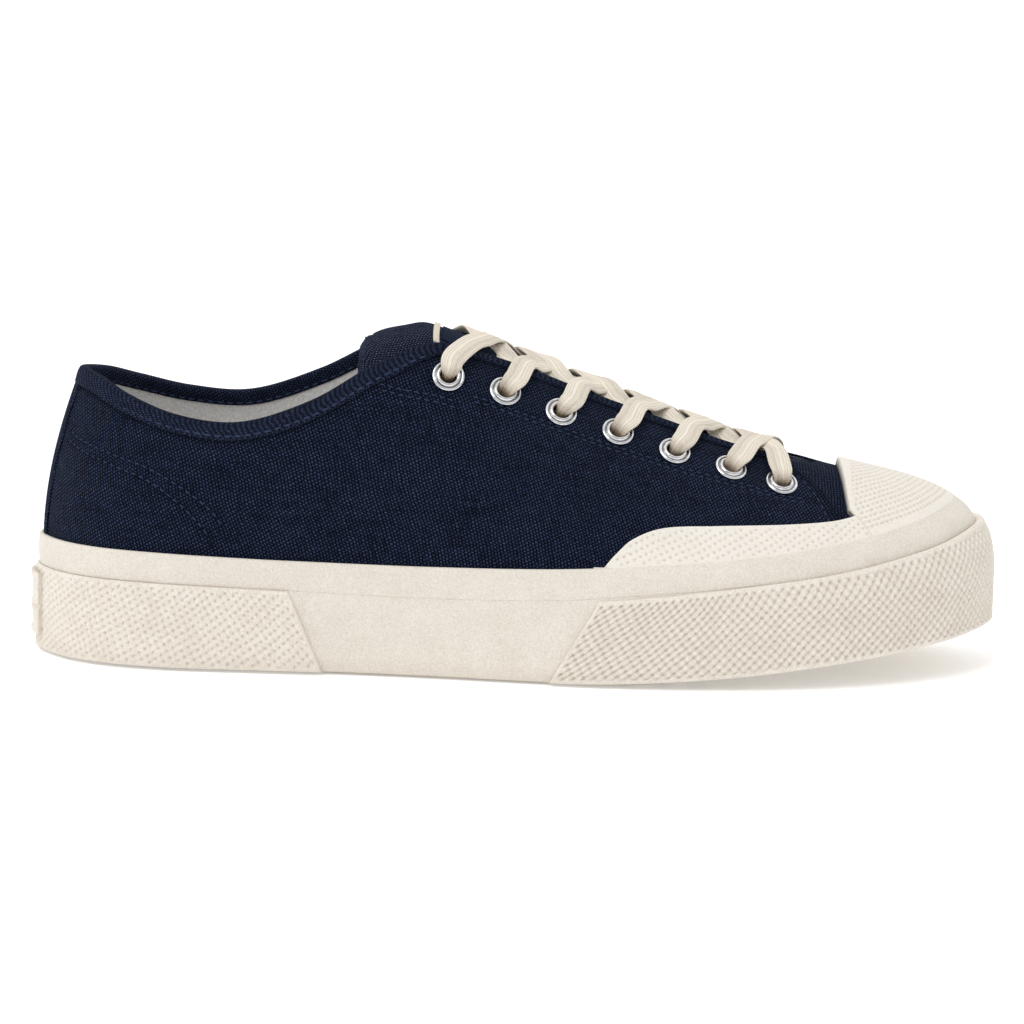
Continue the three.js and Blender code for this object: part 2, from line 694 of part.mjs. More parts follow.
// ---- Laces -------------------------------------------------------------------------------------
// A flat lace along a path of points with the outward direction at each of them.
function laceStrand(path) {
  const centres = new THREE.CatmullRomCurve3(path.map((p) => p.at));
  const outs = new THREE.CatmullRomCurve3(path.map((p) => p.out));
  const steps = 8;
  const [w, h] = [LACE_WIDTH / 2, LACE_THICKNESS / 2];
  const outline = [
    [-w, -h],
    [-w, h],
    [w, h],
    [w, -h],
  ];
  const loops = spread(steps + 1, (i) => {
    const out = outs.getPoint(i / steps).normalize();
    const forward = centres.getTangent(i / steps);
    const across = forward.clone().cross(out).normalize();
    const up = across.clone().cross(forward).normalize();
    const centre = centres.getPoint(i / steps);
    return outline.map(([a, b]) => centre.clone().addScaledVector(across, a).addScaledVector(up, b));
  });
  const size = outline.length;
  const at = (i, k) => i * size + (k % size);
  const triangles = [];
  for (let i = 0; i < steps; i++)
    for (let k = 0; k < size; k++) quad(triangles, at(i, k), at(i, k + 1), at(i + 1, k + 1), at(i + 1, k));
  for (let k = 1; k < size - 1; k++) {
    triangles.push(at(0, 0), at(0, k + 1), at(0, k));
    triangles.push(at(steps, 0), at(steps, k), at(steps, k + 1));
  }
  return geometryFrom(loops.flat(), triangles);
}

// Two strands cross over the tongue. Each leaves the top of an eyelet, crosses towards the toe and
// goes down inside the opposite facing. The last pair ends on top of its eyelets instead.
function laceCrossing(row, seats) {
  const seatAt = (side, number) => seats.find((seat) => seat.side === side && seat.row === number);
  const endsOnTop = row + 2 === EYELETS.length;
  const strands = [-1, 1].map((side) => {
    const [start, goal] = [seatAt(side, row), seatAt(-side, row + 1)];
    const onFlange = ({ centre, normal }) => ({
      at: centre.clone().addScaledVector(normal, LACE_ON_FLANGE),
      out: normal,
    });
    const onEdge = ({ u }, shift) => ({
      at: offsetSkin(u + shift, 1, LACE_ON_EDGE),
      out: skinNormal(u, 0.97),
    });
    const overEdge = onEdge(start, -side * LACE_SLANT);
    const pastEdge = offsetSkin(goal.u, 1, -LACE_INSIDE_EDGE).add(new THREE.Vector3(0, side * 3, 0));
    const middle = overEdge.at.clone().lerp(offsetSkin(goal.u, 1, LACE_ON_EDGE), 0.5).setY(0);
    middle.z += LACE_ON_TONGUE[row];
    const path = [onFlange(start), overEdge, { at: middle, out: new THREE.Vector3(0, 0, 1) }];
    if (endsOnTop) path.push(onEdge(goal, 0), onFlange(goal));
    else path.push({ at: pastEdge, out: new THREE.Vector3(0, side * 0.15, 1) });
    return solidOf(laceStrand(path));
  });
  return geometryOf(strands[0].add(strands[1]));
}

// ---- Assembly ----------------------------------------------------------------------------------
const RUBBER = 0xe9e2d6;
const NAVY = 0x161f3a;
const finishes = {
  outsole: { color: RUBBER, roughness: 0.75, metalness: 0 },
  sole: { color: RUBBER, roughness: 0.7, metalness: 0 },
  canvas: { color: NAVY, roughness: 0.9, metalness: 0 },
  lining: { color: 0xcfccc6, roughness: 0.95, metalness: 0 },
  eyelet: { color: 0xdedede, roughness: 0.2, metalness: 1 },
  lace: { color: 0xe6dccb, roughness: 0.9, metalness: 0 },
};

const shoe = new THREE.Group();

function place(name, geometry, finish) {
  const mesh = new THREE.Mesh(geometry, new THREE.MeshStandardMaterial(finishes[finish]));
  mesh.name = name;
  shoe.add(mesh);
}

const seats = eyeletSeats();
const sideName = (side) => (side < 0 ? "outer" : "inner");

place("outsole", outsole(), "outsole");
place("midsole", midsole(), "sole");
place("insole", insole(), "lining");
place("rand", rand(), "sole");
place("heel_strip", heelStrip(), "sole");
place("toe_strip", toeStrip(), "sole");
place("heel_patch", heelPatch(), "sole");
place("upper", upper(seats), "canvas");
place("toe_cap", toeCap(), "sole");
for (const side of [-1, 1]) place(`toe_guard_${sideName(side)}`, toeGuard(side), "sole");
place("tongue", tongue(), "canvas");
for (const seat of seats) place(`eyelet_${sideName(seat.side)}_${seat.row + 1}`, eyelet(seat), "eyelet");
for (let row = 0; row < EYELETS.length - 1; row++) place(`lace_crossing_${row + 1}`, laceCrossing(row, seats), "lace");

export default shoe;
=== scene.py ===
"""A right-foot low canvas sneaker on a thick moulded rubber sole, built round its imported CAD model.

All sizes are millimetres on the shoe itself: X runs from heel to toe, +Y is the inner side of the foot and
+Z is up. Points turn into metres only when a mesh is made. The upper, the rubber round it and the seams are
offsets of one surface, the Last. On it u goes once round the shoe from the heel seam along the outer side,
and t climbs from the featherline, where canvas meets sole, to the topline.
"""

from __future__ import annotations

import logging
import math
from dataclasses import dataclass, field
from enum import Enum
from typing import Callable, Sequence

import bmesh
import bpy
import numpy as np
from mathutils import Matrix, Vector


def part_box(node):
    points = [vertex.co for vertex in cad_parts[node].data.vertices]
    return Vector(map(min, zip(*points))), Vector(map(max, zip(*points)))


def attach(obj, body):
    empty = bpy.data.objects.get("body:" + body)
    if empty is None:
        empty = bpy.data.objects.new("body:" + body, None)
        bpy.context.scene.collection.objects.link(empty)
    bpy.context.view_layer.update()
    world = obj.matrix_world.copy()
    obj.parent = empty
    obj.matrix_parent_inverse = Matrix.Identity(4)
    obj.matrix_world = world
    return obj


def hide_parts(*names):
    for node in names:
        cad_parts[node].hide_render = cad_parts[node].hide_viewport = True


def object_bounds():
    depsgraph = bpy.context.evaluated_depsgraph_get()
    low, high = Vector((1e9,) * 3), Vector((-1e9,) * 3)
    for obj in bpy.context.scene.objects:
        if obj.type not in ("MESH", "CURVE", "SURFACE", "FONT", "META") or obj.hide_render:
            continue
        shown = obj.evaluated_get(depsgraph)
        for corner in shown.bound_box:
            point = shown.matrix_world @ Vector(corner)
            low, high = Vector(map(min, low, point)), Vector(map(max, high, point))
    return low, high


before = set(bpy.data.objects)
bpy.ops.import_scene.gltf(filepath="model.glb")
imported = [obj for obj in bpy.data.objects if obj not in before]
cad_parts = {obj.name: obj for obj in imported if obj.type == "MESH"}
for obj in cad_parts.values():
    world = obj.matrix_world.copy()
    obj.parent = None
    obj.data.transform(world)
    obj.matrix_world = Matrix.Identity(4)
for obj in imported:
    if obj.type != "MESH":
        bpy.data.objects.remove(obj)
CAD_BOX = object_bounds()

LOG = logging.getLogger("sneaker")
MM = 0.001

FIT_GAP = 0.3
CANVAS_WALL = 2.0
RAND_WALL = 1.6
RIM_CLEARANCE = 0.8
TREAD_INSET = 1.4


# ---- Numbers -------------------------------------------------------------------------------------


def smooth(value: np.ndarray | float) -> np.ndarray:
    """A soft step from 0 to 1 while the value goes from 0 to 1."""
    s = np.clip(value, 0.0, 1.0)
    return s * s * (3 - 2 * s)


def mix(a: np.ndarray | float, b: np.ndarray | float, share: np.ndarray | float) -> np.ndarray:
    """The value at a share of the way from a to b."""
    return a + (b - a) * share


def bell(distance: np.ndarray | float, width: float) -> np.ndarray:
    """A soft ridge of height 1 at distance 0."""
    return np.exp(-np.square(np.asarray(distance) / width))


def unit(vectors: np.ndarray) -> np.ndarray:
    """The same directions with length 1."""
    return vectors / np.maximum(np.linalg.norm(vectors, axis=-1, keepdims=True), 1e-9)


def solve(
    rising: Callable[[np.ndarray], np.ndarray], value: np.ndarray, low: float, high: float
) -> np.ndarray:
    """Finds where rising functions reach their values, by halving.

    Args:
        rising: A function of an array, rising in each element.
        value: The values to reach, in the shape of the answer.
        low: Lower limit of the answer.
        high: Upper limit of the answer.

    Returns:
        The arguments at which the function has those values.
    """
    value = np.asarray(value, float)
    lows, highs = np.full(value.shape, low), np.full(value.shape, high)
    for _ in range(34):
        middle = (lows + highs) / 2
        under = rising(middle) < value
        lows, highs = np.where(under, middle, lows), np.where(under, highs, middle)
    return (lows + highs) / 2


def catmull(points: Sequence, steps: np.ndarray, closed: bool = False) -> np.ndarray:
    """Points of a centripetal Catmull-Rom curve.

    Args:
        points: The curve's knots, each one point or one row of points.
        steps: Places along the curve from 0 to 1, of any shape.
        closed: Whether the last knot leads back to the first.

    Returns:
        The curve's points, in the shape of steps and then of a knot.
    """
    knots = np.asarray(points, float)
    count = len(knots)
    spans = count if closed else count - 1
    place = (np.mod(steps, 1.0) if closed else np.clip(steps, 0, 1)) * spans
    first = np.minimum(np.floor(place).astype(int), spans - 1)
    share = (place - first)[(...,) + (None,) * (knots.ndim - 1)]
    if not closed:
        knots = np.concatenate([2 * knots[:1] - knots[1:2], knots, 2 * knots[-1:] - knots[-2:-1]])
        q = [knots[first + k] for k in range(4)]
    else:
        q = [knots[(first + k) % count] for k in (-1, 0, 1, 2)]
    gaps = [np.maximum(np.square(b - a).sum(-1, keepdims=True) ** 0.25, 1e-4) for a, b in zip(q, q[1:])]
    m1 = ((q[1] - q[0]) / gaps[0] - (q[2] - q[0]) / (gaps[0] + gaps[1]) + (q[2] - q[1]) / gaps[1]) * gaps[1]
    m2 = ((q[2] - q[1]) / gaps[1] - (q[3] - q[1]) / (gaps[1] + gaps[2]) + (q[3] - q[2]) / gaps[2]) * gaps[1]
    bend = (-3 * q[1] + 3 * q[2] - 2 * m1 - m2) * share**2 + (2 * q[1] - 2 * q[2] + m1 + m2) * share**3
    return q[1] + m1 * share + bend


@dataclass(frozen=True)
class Table:
    """Rows of sizes with named columns. Where the first column is x, values between rows follow a curve."""

    columns: tuple[str, ...]
    rows: tuple[tuple[float, ...], ...]

    def column(self, name: str) -> np.ndarray:
        """One column as an array."""
        return np.array([row[self.columns.index(name)] for row in self.rows], float)

    def along(self, name: str, x: np.ndarray | float) -> np.ndarray:
        """Reads a column at places between the rows.

        Args:
            name: The column.
            x: Where to read it, by the column x.

        Returns:
            The values, held at the first and last row beyond them.
        """
        xs, v, x = self.column("x"), self.column(name), np.asarray(x, float)
        last = len(xs) - 1
        i = np.clip(np.searchsorted(xs, x, side="right") - 1, 0, last - 1)
        before, after = np.clip(i - 1, 0, last), np.clip(i + 2, 0, last)
        span = xs[i + 1] - xs[i]
        s = (x - xs[i]) / span
        m1 = (v[i + 1] - v[before]) / (xs[i + 1] - xs[before]) * span
        m2 = (v[after] - v[i]) / (xs[after] - xs[i]) * span
        curve = (2 * s**3 - 3 * s**2 + 1) * v[i] + (s**3 - 2 * s**2 + s) * m1
        curve = curve + (3 * s**2 - 2 * s**3) * v[i + 1] + (s**3 - s**2) * m2
        return np.where(x <= xs[0], v[0], np.where(x >= xs[-1], v[-1], curve))


# ---- The last ------------------------------------------------------------------------------------

# Round the featherline from the heel seam along the outer side to the toe and back along the inner side.
# x is per cent of the length from the middle, y and z of the ball width and the instep height. flare and
# rise place a rib's lower handle, reach and drop its upper one, in millimetres.
RIBS = Table(
    ("foot_x", "foot_y", "flare", "rise", "reach", "drop", "top_x", "top_y", "top_z"),
    (
        (-48.45, 0, 2.1, 23.7, 6.5, 18, -44.85, 0, 87.5),
        (-46.3, -15.5, 2.1, 23.5, 6.5, 17.5, -42.7, -11.5, 85.8),
        (-42, -27, 2.0, 23, 6.5, 17, -39.5, -20.3, 81.4),
        (-35.3, -33.5, 1.8, 22, 6, 16, -34.3, -26.8, 76.4),
        (-26.7, -35.2, 1.6, 21, 5.5, 16, -28, -29.8, 75),
        (-16.7, -36.6, 1.5, 22, 5.5, 19, -20.7, -30, 82),
        (-7.3, -40, 1.5, 24, 9, 20, -14, -25.5, 93.5),
        (0.7, -44, 2.0, 25, 14, 16, -8.3, -17.5, 99.2),
        (8.3, -47.2, 2.6, 22, 15, 15.5, -1, -14, 93.7),
        (16, -48, 3, 19, 15.5, 14, 7.3, -13, 84.6),
        (24, -46.4, 3, 18, 16, 12.5, 15.3, -12.5, 76.4),
        (31.7, -41.3, 2.8, 18, 16.5, 11, 22.3, -11.8, 69.4),
        (39, -31.5, 2.2, 20, 19.5, 9, 27.3, -10, 66),
        (44.9, -17, 1.5, 26, 25, 8, 30, -6, 64.6),
        (48.5, 5, 1.0, 30, 30, 8, 30.9, 0, 64.3),
        (46.3, 24, 1.5, 26, 25, 8, 30, 6, 64.6),
        (41, 35.5, 2.2, 20, 19.5, 9, 27.3, 10, 66),
        (33.7, 43, 2.8, 18, 16.5, 11, 22.3, 11.8, 69.4),
        (25.7, 46.7, 3, 18, 16, 12.5, 15.3, 12.5, 76.4),
        (17.3, 47.6, 3, 19, 15.5, 14, 7.3, 13, 84.6),
        (9, 43.6, 3.4, 22, 15, 15.5, -1, 14, 93.9),
        (1, 38, 4.0, 25, 13, 16, -8.3, 17.5, 100),
        (-7.3, 34, 4.0, 24, 8, 20, -14, 25.2, 95.2),
        (-16.7, 32, 3.0, 22, 5.5, 19, -20.7, 29.5, 84.8),
        (-26.7, 32.6, 2.0, 21, 5.5, 16, -28, 29.3, 77.8),
        (-35.3, 32.8, 1.8, 22, 6, 16, -34.3, 26.4, 79),
        (-42, 27, 2.0, 23, 6.5, 17, -39.5, 20.1, 83),
        (-46.3, 15.5, 2.1, 23.5, 6.5, 17.5, -42.7, 11.5, 86.2),
    ),
)
# Heights of the sole's lines above the floor, by the featherline's x.
SOLE_LINES = Table(
    ("x", "feather", "strip", "rand"),
    (
        (-150, 24.2, 27.0, 36.4),
        (-110, 23.8, 26.8, 36.0),
        (-70, 23.0, 25.8, 34.8),
        (-30, 22.2, 24.9, 34.3),
        (10, 22.0, 26.0, 35.1),
        (40, 22.2, 28.4, 36.6),
        (70, 23.0, 31.0, 38.6),
        (100, 24.4, 34.4, 42.0),
        (125, 26.0, 39.2, 46.6),
        (148, 27.4, 45.2, 52.3),
    ),
)


@dataclass
class Last:
    """The surface that the canvas lies on, with the sole's lines; placed by the CAD upper."""

    length: float = 300.0
    ball_width: float = 100.0
    instep_height: float = 100.0
    spring_start: float = 20.0
    spring_slope: float = 0.145
    spring_ease: float = 40.0

    def __post_init__(self) -> None:
        """Lays out the ribs' four rings of handles and seats them on the CAD upper."""
        foot_x = RIBS.column("foot_x") * self.length / 100
        foot_y = RIBS.column("foot_y") * self.ball_width / 100
        self.count = len(foot_x)
        self.feet = np.stack([foot_x, foot_y, SOLE_LINES.along("feather", foot_x)], -1)
        tops = [("top_x", self.length), ("top_y", self.ball_width), ("top_z", self.instep_height)]
        self.tops = np.stack([RIBS.column(name) * size / 100 for name, size in tops], -1)
        up = np.array([0.0, 0.0, 1.0])
        out = self.outwards(np.arange(self.count) / self.count)
        self.lows = self.feet + out * RIBS.column("flare")[:, None] + up * RIBS.column("rise")[:, None]
        way = unit((self.feet - self.tops) * [1, 1, 0])
        self.highs = self.tops + way * RIBS.column("reach")[:, None] - up * RIBS.column("drop")[:, None]
        self.seat_on_frame()

    def seat_on_frame(self) -> None:
        """Moves the rings so that their box has the same middle as the CAD upper."""
        low, high = (np.array(corner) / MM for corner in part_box("upper"))
        u, t = np.meshgrid(np.linspace(0, 1, 400), np.linspace(0, 1, 40), indexing="ij")
        own = self.skin(u, t).reshape(-1, 3)
        shift = ((low + high) - (own.min(0) + own.max(0))) / 2 * [1, 1, 0]
        for ring in (self.feet, self.lows, self.highs, self.tops):
            ring += shift
        LOG.info("last seated on the CAD upper, moved by %s mm", np.round(shift, 2))

    def foot(self, u: np.ndarray | float) -> np.ndarray:
        """Points of the featherline."""
        return catmull(self.feet, np.asarray(u, float), closed=True)

    def outwards(self, u: np.ndarray | float) -> np.ndarray:
        """Level directions away from the foot at the featherline.

        Args:
            u: Ribs, as shares of the way round.

        Returns:
            Unit directions, one for each rib.
        """
        u = np.asarray(u, float)
        tangent = self.foot(u + 1e-4) - self.foot(u - 1e-4)
        return unit(np.stack([tangent[..., 1], -tangent[..., 0], 0 * tangent[..., 0]], -1))

    def skin(self, u: np.ndarray | float, t: np.ndarray | float) -> np.ndarray:
        """Points of the outside of the canvas.

        Args:
            u: Places round the shoe.
            t: Places up the rib, in a shape that goes with u.

        Returns:
            The points, in the common shape of u and t and then 3.
        """
        u, t = np.asarray(u, float), np.asarray(t, float)[..., None]
        rings = [catmull(ring, u, closed=True) for ring in (self.feet, self.lows, self.highs, self.tops)]
        r = 1 - t
        return rings[0] * r**3 + rings[1] * (3 * r * r * t) + rings[2] * (3 * r * t * t) + rings[3] * t**3

    def normal(self, u: np.ndarray | float, t: np.ndarray | float) -> np.ndarray:
        """Outward directions square to the canvas.

        Args:
            u: Ribs, as shares of the way round.
            t: Places up the ribs, 0 at the featherline and 1 at the topline.

        Returns:
            Unit normals, one for each place.
        """
        u, t = np.asarray(u, float), np.asarray(t, float)
        round_ = self.skin(u + 1e-3, t) - self.skin(u - 1e-3, t)
        up = self.skin(u, np.minimum(1, t + 1e-2)) - self.skin(u, np.maximum(0, t - 1e-2))
        return unit(np.cross(round_, up))

    def off(self, u: np.ndarray | float, t: np.ndarray | float, distance: np.ndarray | float) -> np.ndarray:
        """Points at a distance outside the canvas."""
        return self.skin(u, t) + self.normal(u, t) * np.asarray(distance, float)[..., None]

    def t_at_height(self, u: np.ndarray | float, z: np.ndarray | float) -> np.ndarray:
        """Places up the ribs with these heights."""
        u, z = np.broadcast_arrays(np.asarray(u, float), np.asarray(z, float))
        return solve(lambda t: self.skin(u, t)[..., 2], z, 0.0, 0.75)

    def t_below_top(self, u: np.ndarray | float, distance: np.ndarray | float) -> np.ndarray:
        """Places at distances down the ribs from the topline.

        Args:
            u: Ribs, as shares of the way round.
            distance: Distances from the topline.

        Returns:
            Places up the ribs.
        """
        u, distance = np.broadcast_arrays(np.atleast_1d(np.asarray(u, float)), np.asarray(distance, float))
        steps = np.linspace(1, 0, 101)
        track = self.skin(u[..., None], steps)
        gone = np.cumsum(np.linalg.norm(np.diff(track, axis=-2), axis=-1), axis=-1)
        gone = np.concatenate([np.zeros(gone.shape[:-1] + (1,)), gone], -1).reshape(-1, len(steps))
        found = [np.interp(d, g, steps) for d, g in zip(distance.ravel(), gone)]
        return np.array(found).reshape(distance.shape)

    def u_at_foot(self, x: np.ndarray | float, side: int) -> np.ndarray:
        """The ribs whose feet are at x, on the outer side (-1) or the inner side (1)."""
        share = solve(lambda s: self.foot(s if side < 0 else 1 - s)[..., 0], x, 0.0, 0.5)
        return share if side < 0 else 1 - share

    def floor(self, x: np.ndarray | float) -> np.ndarray:
        """Height of the sole's underside, which rises towards the toe."""
        ahead = np.maximum(0, np.asarray(x, float) - self.spring_start)
        return self.spring_slope * (np.hypot(ahead, self.spring_ease) - self.spring_ease)

    def line(self, name: str, u: np.ndarray | float) -> np.ndarray:
        """Height of one of the sole's lines: floor, feather, strip or rand."""
        x = self.foot(u)[..., 0]
        return self.floor(x) if name == "floor" else SOLE_LINES.along(name, x)

    def side(self, u: np.ndarray, z: np.ndarray, distance: np.ndarray | float) -> np.ndarray:
        """Points on the side of the shoe. Below the featherline the wall drops straight down.

        Args:
            u: Places round the shoe.
            z: Heights above the floor.
            distance: How far outside the canvas.

        Returns:
            The points, in the common shape of the three and then 3.
        """
        u, z, distance = np.broadcast_arrays(*(np.asarray(v, float) for v in (u, z, distance)))
        foot, out = self.foot(u), self.outwards(u)
        t = self.t_at_height(u, np.maximum(z, foot[..., 2]))
        way = unit(mix(out, self.normal(u, t), smooth((z - foot[..., 2]) / 8)[..., None]))
        wall = np.concatenate([foot[..., :2], z[..., None]], -1) + out * distance[..., None]
        above = self.skin(u, t) + way * distance[..., None]
        return np.where((z > foot[..., 2])[..., None], above, wall)

    def u_steps(self, first: float, last: float, step: float, t: float = 0.3) -> np.ndarray:
        """Places from one rib to another, evenly spaced along the surface.

        Args:
            first: The first rib.
            last: The last rib.
            step: The distance between ribs.
            t: The height at which it is measured.

        Returns:
            The ribs, with both ends.
        """
        fine = np.linspace(first, last, 1500)
        gone = np.concatenate(
            [[0], np.cumsum(np.linalg.norm(np.diff(self.skin(fine, t), axis=0), axis=-1))]
        )
        return np.interp(np.linspace(0, gone[-1], max(3, int(gone[-1] / step) + 1)), gone, fine)


# ---- Meshes --------------------------------------------------------------------------------------


def arc_uv(points: np.ndarray, centre: float | None = None) -> np.ndarray:
    """Texture coordinates in millimetres along a grid's two ways.

    Args:
        points: The grid, rows round the shoe and columns up it.
        centre: The share of the rows where the first coordinate is 0, or None for the first row.

    Returns:
        Two coordinates for each point: the way along its column line and the way along its row line.
    """
    along = np.linalg.norm(np.diff(points, axis=0), axis=-1)
    across = np.linalg.norm(np.diff(points, axis=1), axis=-1)
    s = np.concatenate([np.zeros((1, points.shape[1])), np.cumsum(along, 0)])
    v = np.concatenate([np.zeros((points.shape[0], 1)), np.cumsum(across, 1)], 1)
    if centre is not None:
        s = s - s[int(centre * (len(points) - 1))]
    return np.stack([s, v], -1)


def border_lines(length: float, step: float, radius: float) -> tuple[np.ndarray, np.ndarray]:
    """Lines across a raised panel, gathered at its two borders so that they come out round.

    Args:
        length: The panel's size that way.
        step: Spacing of the lines in the middle.
        radius: Radius of the rounded border.

    Returns:
        Distances from the first border, and the share of the radius that each line has risen, with -1 for
        the two lines at the panel's foot.
    """
    ease = np.array([0, 0.06, 0.22, 0.5, 1.0])
    rise = np.sqrt(1 - (1 - ease) ** 2)
    inside = np.linspace(radius, length - radius, max(3, int((length - 2 * radius) / step)))[1:-1]
    places = np.concatenate([[0], ease * radius, inside, length - ease[::-1] * radius, [length]])
    return places, np.concatenate([[-1], rise, np.ones(len(inside)), rise[::-1], [-1]])


def panel_height(
    rise_u: np.ndarray, rise_v: np.ndarray, foot: float, wall: float, radius: float
) -> np.ndarray:
    """Heights of a raised panel's lines above the surface under it.

    Args:
        rise_u: Rise of the lines one way, from border_lines.
        rise_v: Rise of the lines the other way.
        foot: Height of the panel's foot.
        wall: Height of its face.
        radius: Radius of its rounded border.

    Returns:
        A grid of heights.
    """
    share = np.minimum(rise_u[:, None], rise_v[None, :])
    return np.where(share < 0, foot, wall - radius + radius * share)


class Draft:
    """A mesh being put together from grids, in millimetres."""

    def __init__(self) -> None:
        """Starts with nothing."""
        self.points: list[np.ndarray] = []
        self.faces: list[np.ndarray] = []
        self.uvs: list[np.ndarray] = []
        self.slots: list[np.ndarray] = []
        self.relief: list[np.ndarray] = []
        self.size = 0

    def add(
        self, points: np.ndarray, faces: np.ndarray, uvs: np.ndarray, slot: int, relief: np.ndarray
    ) -> None:
        """Adds points and four-cornered or three-cornered faces.

        Args:
            points: The points.
            faces: Rows of indices into these points.
            uvs: Texture coordinates of every corner of every face, in the faces' order.
            slot: Material slot.
            relief: A value from 0 to 1 at each point, which the materials read; they darken low values with
                painted shade.
        """
        self.points.append(points.reshape(-1, 3))
        self.faces.append(faces + self.size)
        self.uvs.append(uvs.reshape(-1, 2))
        self.slots.append(np.full(len(faces), slot))
        self.relief.append(np.broadcast_to(relief, points.shape[:-1]).reshape(-1))
        self.size += points.size // 3

    def grid(
        self,
        points: np.ndarray,
        uv: np.ndarray | None = None,
        close: tuple[bool, bool] = (False, False),
        slot: int | Callable[[np.ndarray], np.ndarray] = 0,
        relief: np.ndarray | float = 1.0,
        flip: bool = False,
    ) -> None:
        """Adds a grid of points with faces between its lines.

        Args:
            points: The grid.
            uv: Texture coordinates, with one more line for each closed way, or None for arc lengths.
            close: Whether the grid closes on itself each way.
            slot: Material slot, or a function from column numbers to slots.
            relief: A value from 0 to 1 for each point.
            flip: Whether to turn the faces over.
        """
        rows, cols = points.shape[:2]
        if uv is None:
            open_points = np.concatenate([points, points[:1]], 0) if close[0] else points
            open_points = np.concatenate([open_points, open_points[:, :1]], 1) if close[1] else open_points
            uv = arc_uv(open_points)
        i, k = np.meshgrid(
            np.arange(rows - (not close[0])), np.arange(cols - (not close[1])), indexing="ij"
        )
        i, k = i.ravel(), k.ravel()
        corners = [(i, k), (i + 1, k), (i + 1, k + 1), (i, k + 1)]
        if flip:
            corners = corners[::-1]
        faces = np.stack([(a % rows) * cols + b % cols for a, b in corners], -1)
        uvs = np.stack([uv[a, b] for a, b in corners], 1)
        self.add(points, faces, uvs, 0, np.broadcast_to(relief, points.shape[:-1]))
        self.slots[-1] = slot(k) if callable(slot) else np.full(len(faces), slot)

    def panel(
        self,
        points: np.ndarray,
        uv: np.ndarray | None = None,
        relief: np.ndarray | float = 1.0,
        foot: np.ndarray | None = None,
    ) -> None:
        """Adds a raised panel whose first and last lines lie at its foot, and closes it behind.

        Args:
            points: The grid of the face, down to the foot all round.
            uv: Texture coordinates, or None for arc lengths.
            relief: A value from 0 to 1 for each point.
            foot: The same grid laid at the height of the foot, for panels on a curved surface, or None for a
                plain back.
        """
        rows, cols = points.shape[:2]
        start = self.size
        self.grid(points, uv=uv, relief=relief)
        lines = [np.arange(rows) * cols + start]
        if foot is not None:
            picked = foot[:, np.linspace(0, cols - 1, 14).astype(int)[1:-1]]
            count = picked.shape[1]
            lines += [np.arange(rows) * count + k + self.size for k in range(count)]
            self.add(picked, np.zeros((0, 4), int), np.zeros((0, 4, 2)), 0, np.ones(picked.shape[:-1]))
        lines.append(np.arange(rows) * cols + cols - 1 + start)
        for left, right in zip(lines, lines[1:]):
            back = np.stack([left[:-1], right[:-1], right[1:], left[1:]], -1)
            self.faces.append(back)
            self.uvs.append(np.zeros((len(back) * 4, 2)))
            self.slots.append(np.zeros(len(back), int))
        inner = lines[1:-1]
        for row, way in ((0, -1), (rows - 1, 1)):
            ring = list(np.arange(cols) + row * cols + start) + [line[row] for line in inner[::-1]]
            self.polygon(np.array(ring[::way]))

    def polygon(self, corners: np.ndarray, slot: int = 0) -> None:
        """Adds one face with any number of corners that are there already.

        Args:
            corners: The numbers of its corners.
            slot: The material slot.
        """
        self.faces.append(corners[None, :])
        self.uvs.append(np.zeros((len(corners), 2)))
        self.slots.append(np.full(1, slot))

    def tube(
        self,
        loops: np.ndarray,
        uv: np.ndarray | None = None,
        slot: int = 0,
        relief: np.ndarray | float = 1.0,
    ) -> None:
        """Adds a closed outline carried along a path, with both ends closed.

        Args:
            loops: One loop of points for each place on the path.
            uv: Texture coordinates, with one more column, or None for arc lengths.
            slot: Material slot.
            relief: A value from 0 to 1 for each point.
        """
        rows, cols = loops.shape[:2]
        start = self.size
        self.grid(loops, uv=uv, close=(False, True), slot=slot, relief=relief)
        self.polygon(np.arange(cols)[::-1] + start, slot)
        self.polygon(np.arange(cols) + (rows - 1) * cols + start, slot)

    def make(self, name: str, *materials: bpy.types.Material) -> bpy.types.Object:
        """Turns the draft into a smooth-shaded object.

        Args:
            name: The object's name.
            materials: Its materials, in the order of the slots.

        Returns:
            The object, linked to the scene.
        """
        mesh = bpy.data.meshes.new(name)
        faces = [row for block in self.faces for row in block.tolist()]
        mesh.from_pydata((np.concatenate(self.points) * MM).tolist(), [], faces)
        layer = mesh.uv_layers.new(name="cloth_mm")
        layer.data.foreach_set("uv", np.concatenate(self.uvs).astype(np.float32).ravel())
        relief = mesh.attributes.new("relief", "FLOAT", "POINT")
        relief.data.foreach_set("value", np.concatenate(self.relief).astype(np.float32))
        mesh.polygons.foreach_set("material_index", np.concatenate(self.slots).astype(np.int32))
        mesh.polygons.foreach_set("use_smooth", np.ones(len(faces), bool))
        for material in materials:
            mesh.materials.append(material)
        mesh.validate()
        mesh.update()
        piece = bpy.data.objects.new(name, mesh)
        bpy.context.scene.collection.objects.link(piece)
        return piece


def settle(piece: bpy.types.Object, slot: str, *nodes: str) -> bpy.types.Object:
    """Rides a finished piece on the shoe, hides the CAD nodes that it stands for and logs them.

    Args:
        piece: The piece.
        slot: The record's material slot. It is not used.
        nodes: CAD nodes that it replaces.

    Returns:
        The piece.
    """
    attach(piece, "root")
    if nodes:
        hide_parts(*nodes)
    LOG.info(
        "%s: %d faces, stands for %s", piece.name, len(piece.data.polygons), ", ".join(nodes) or "nothing"
    )
    return piece


# ---- Shader groups -------------------------------------------------------------------------------


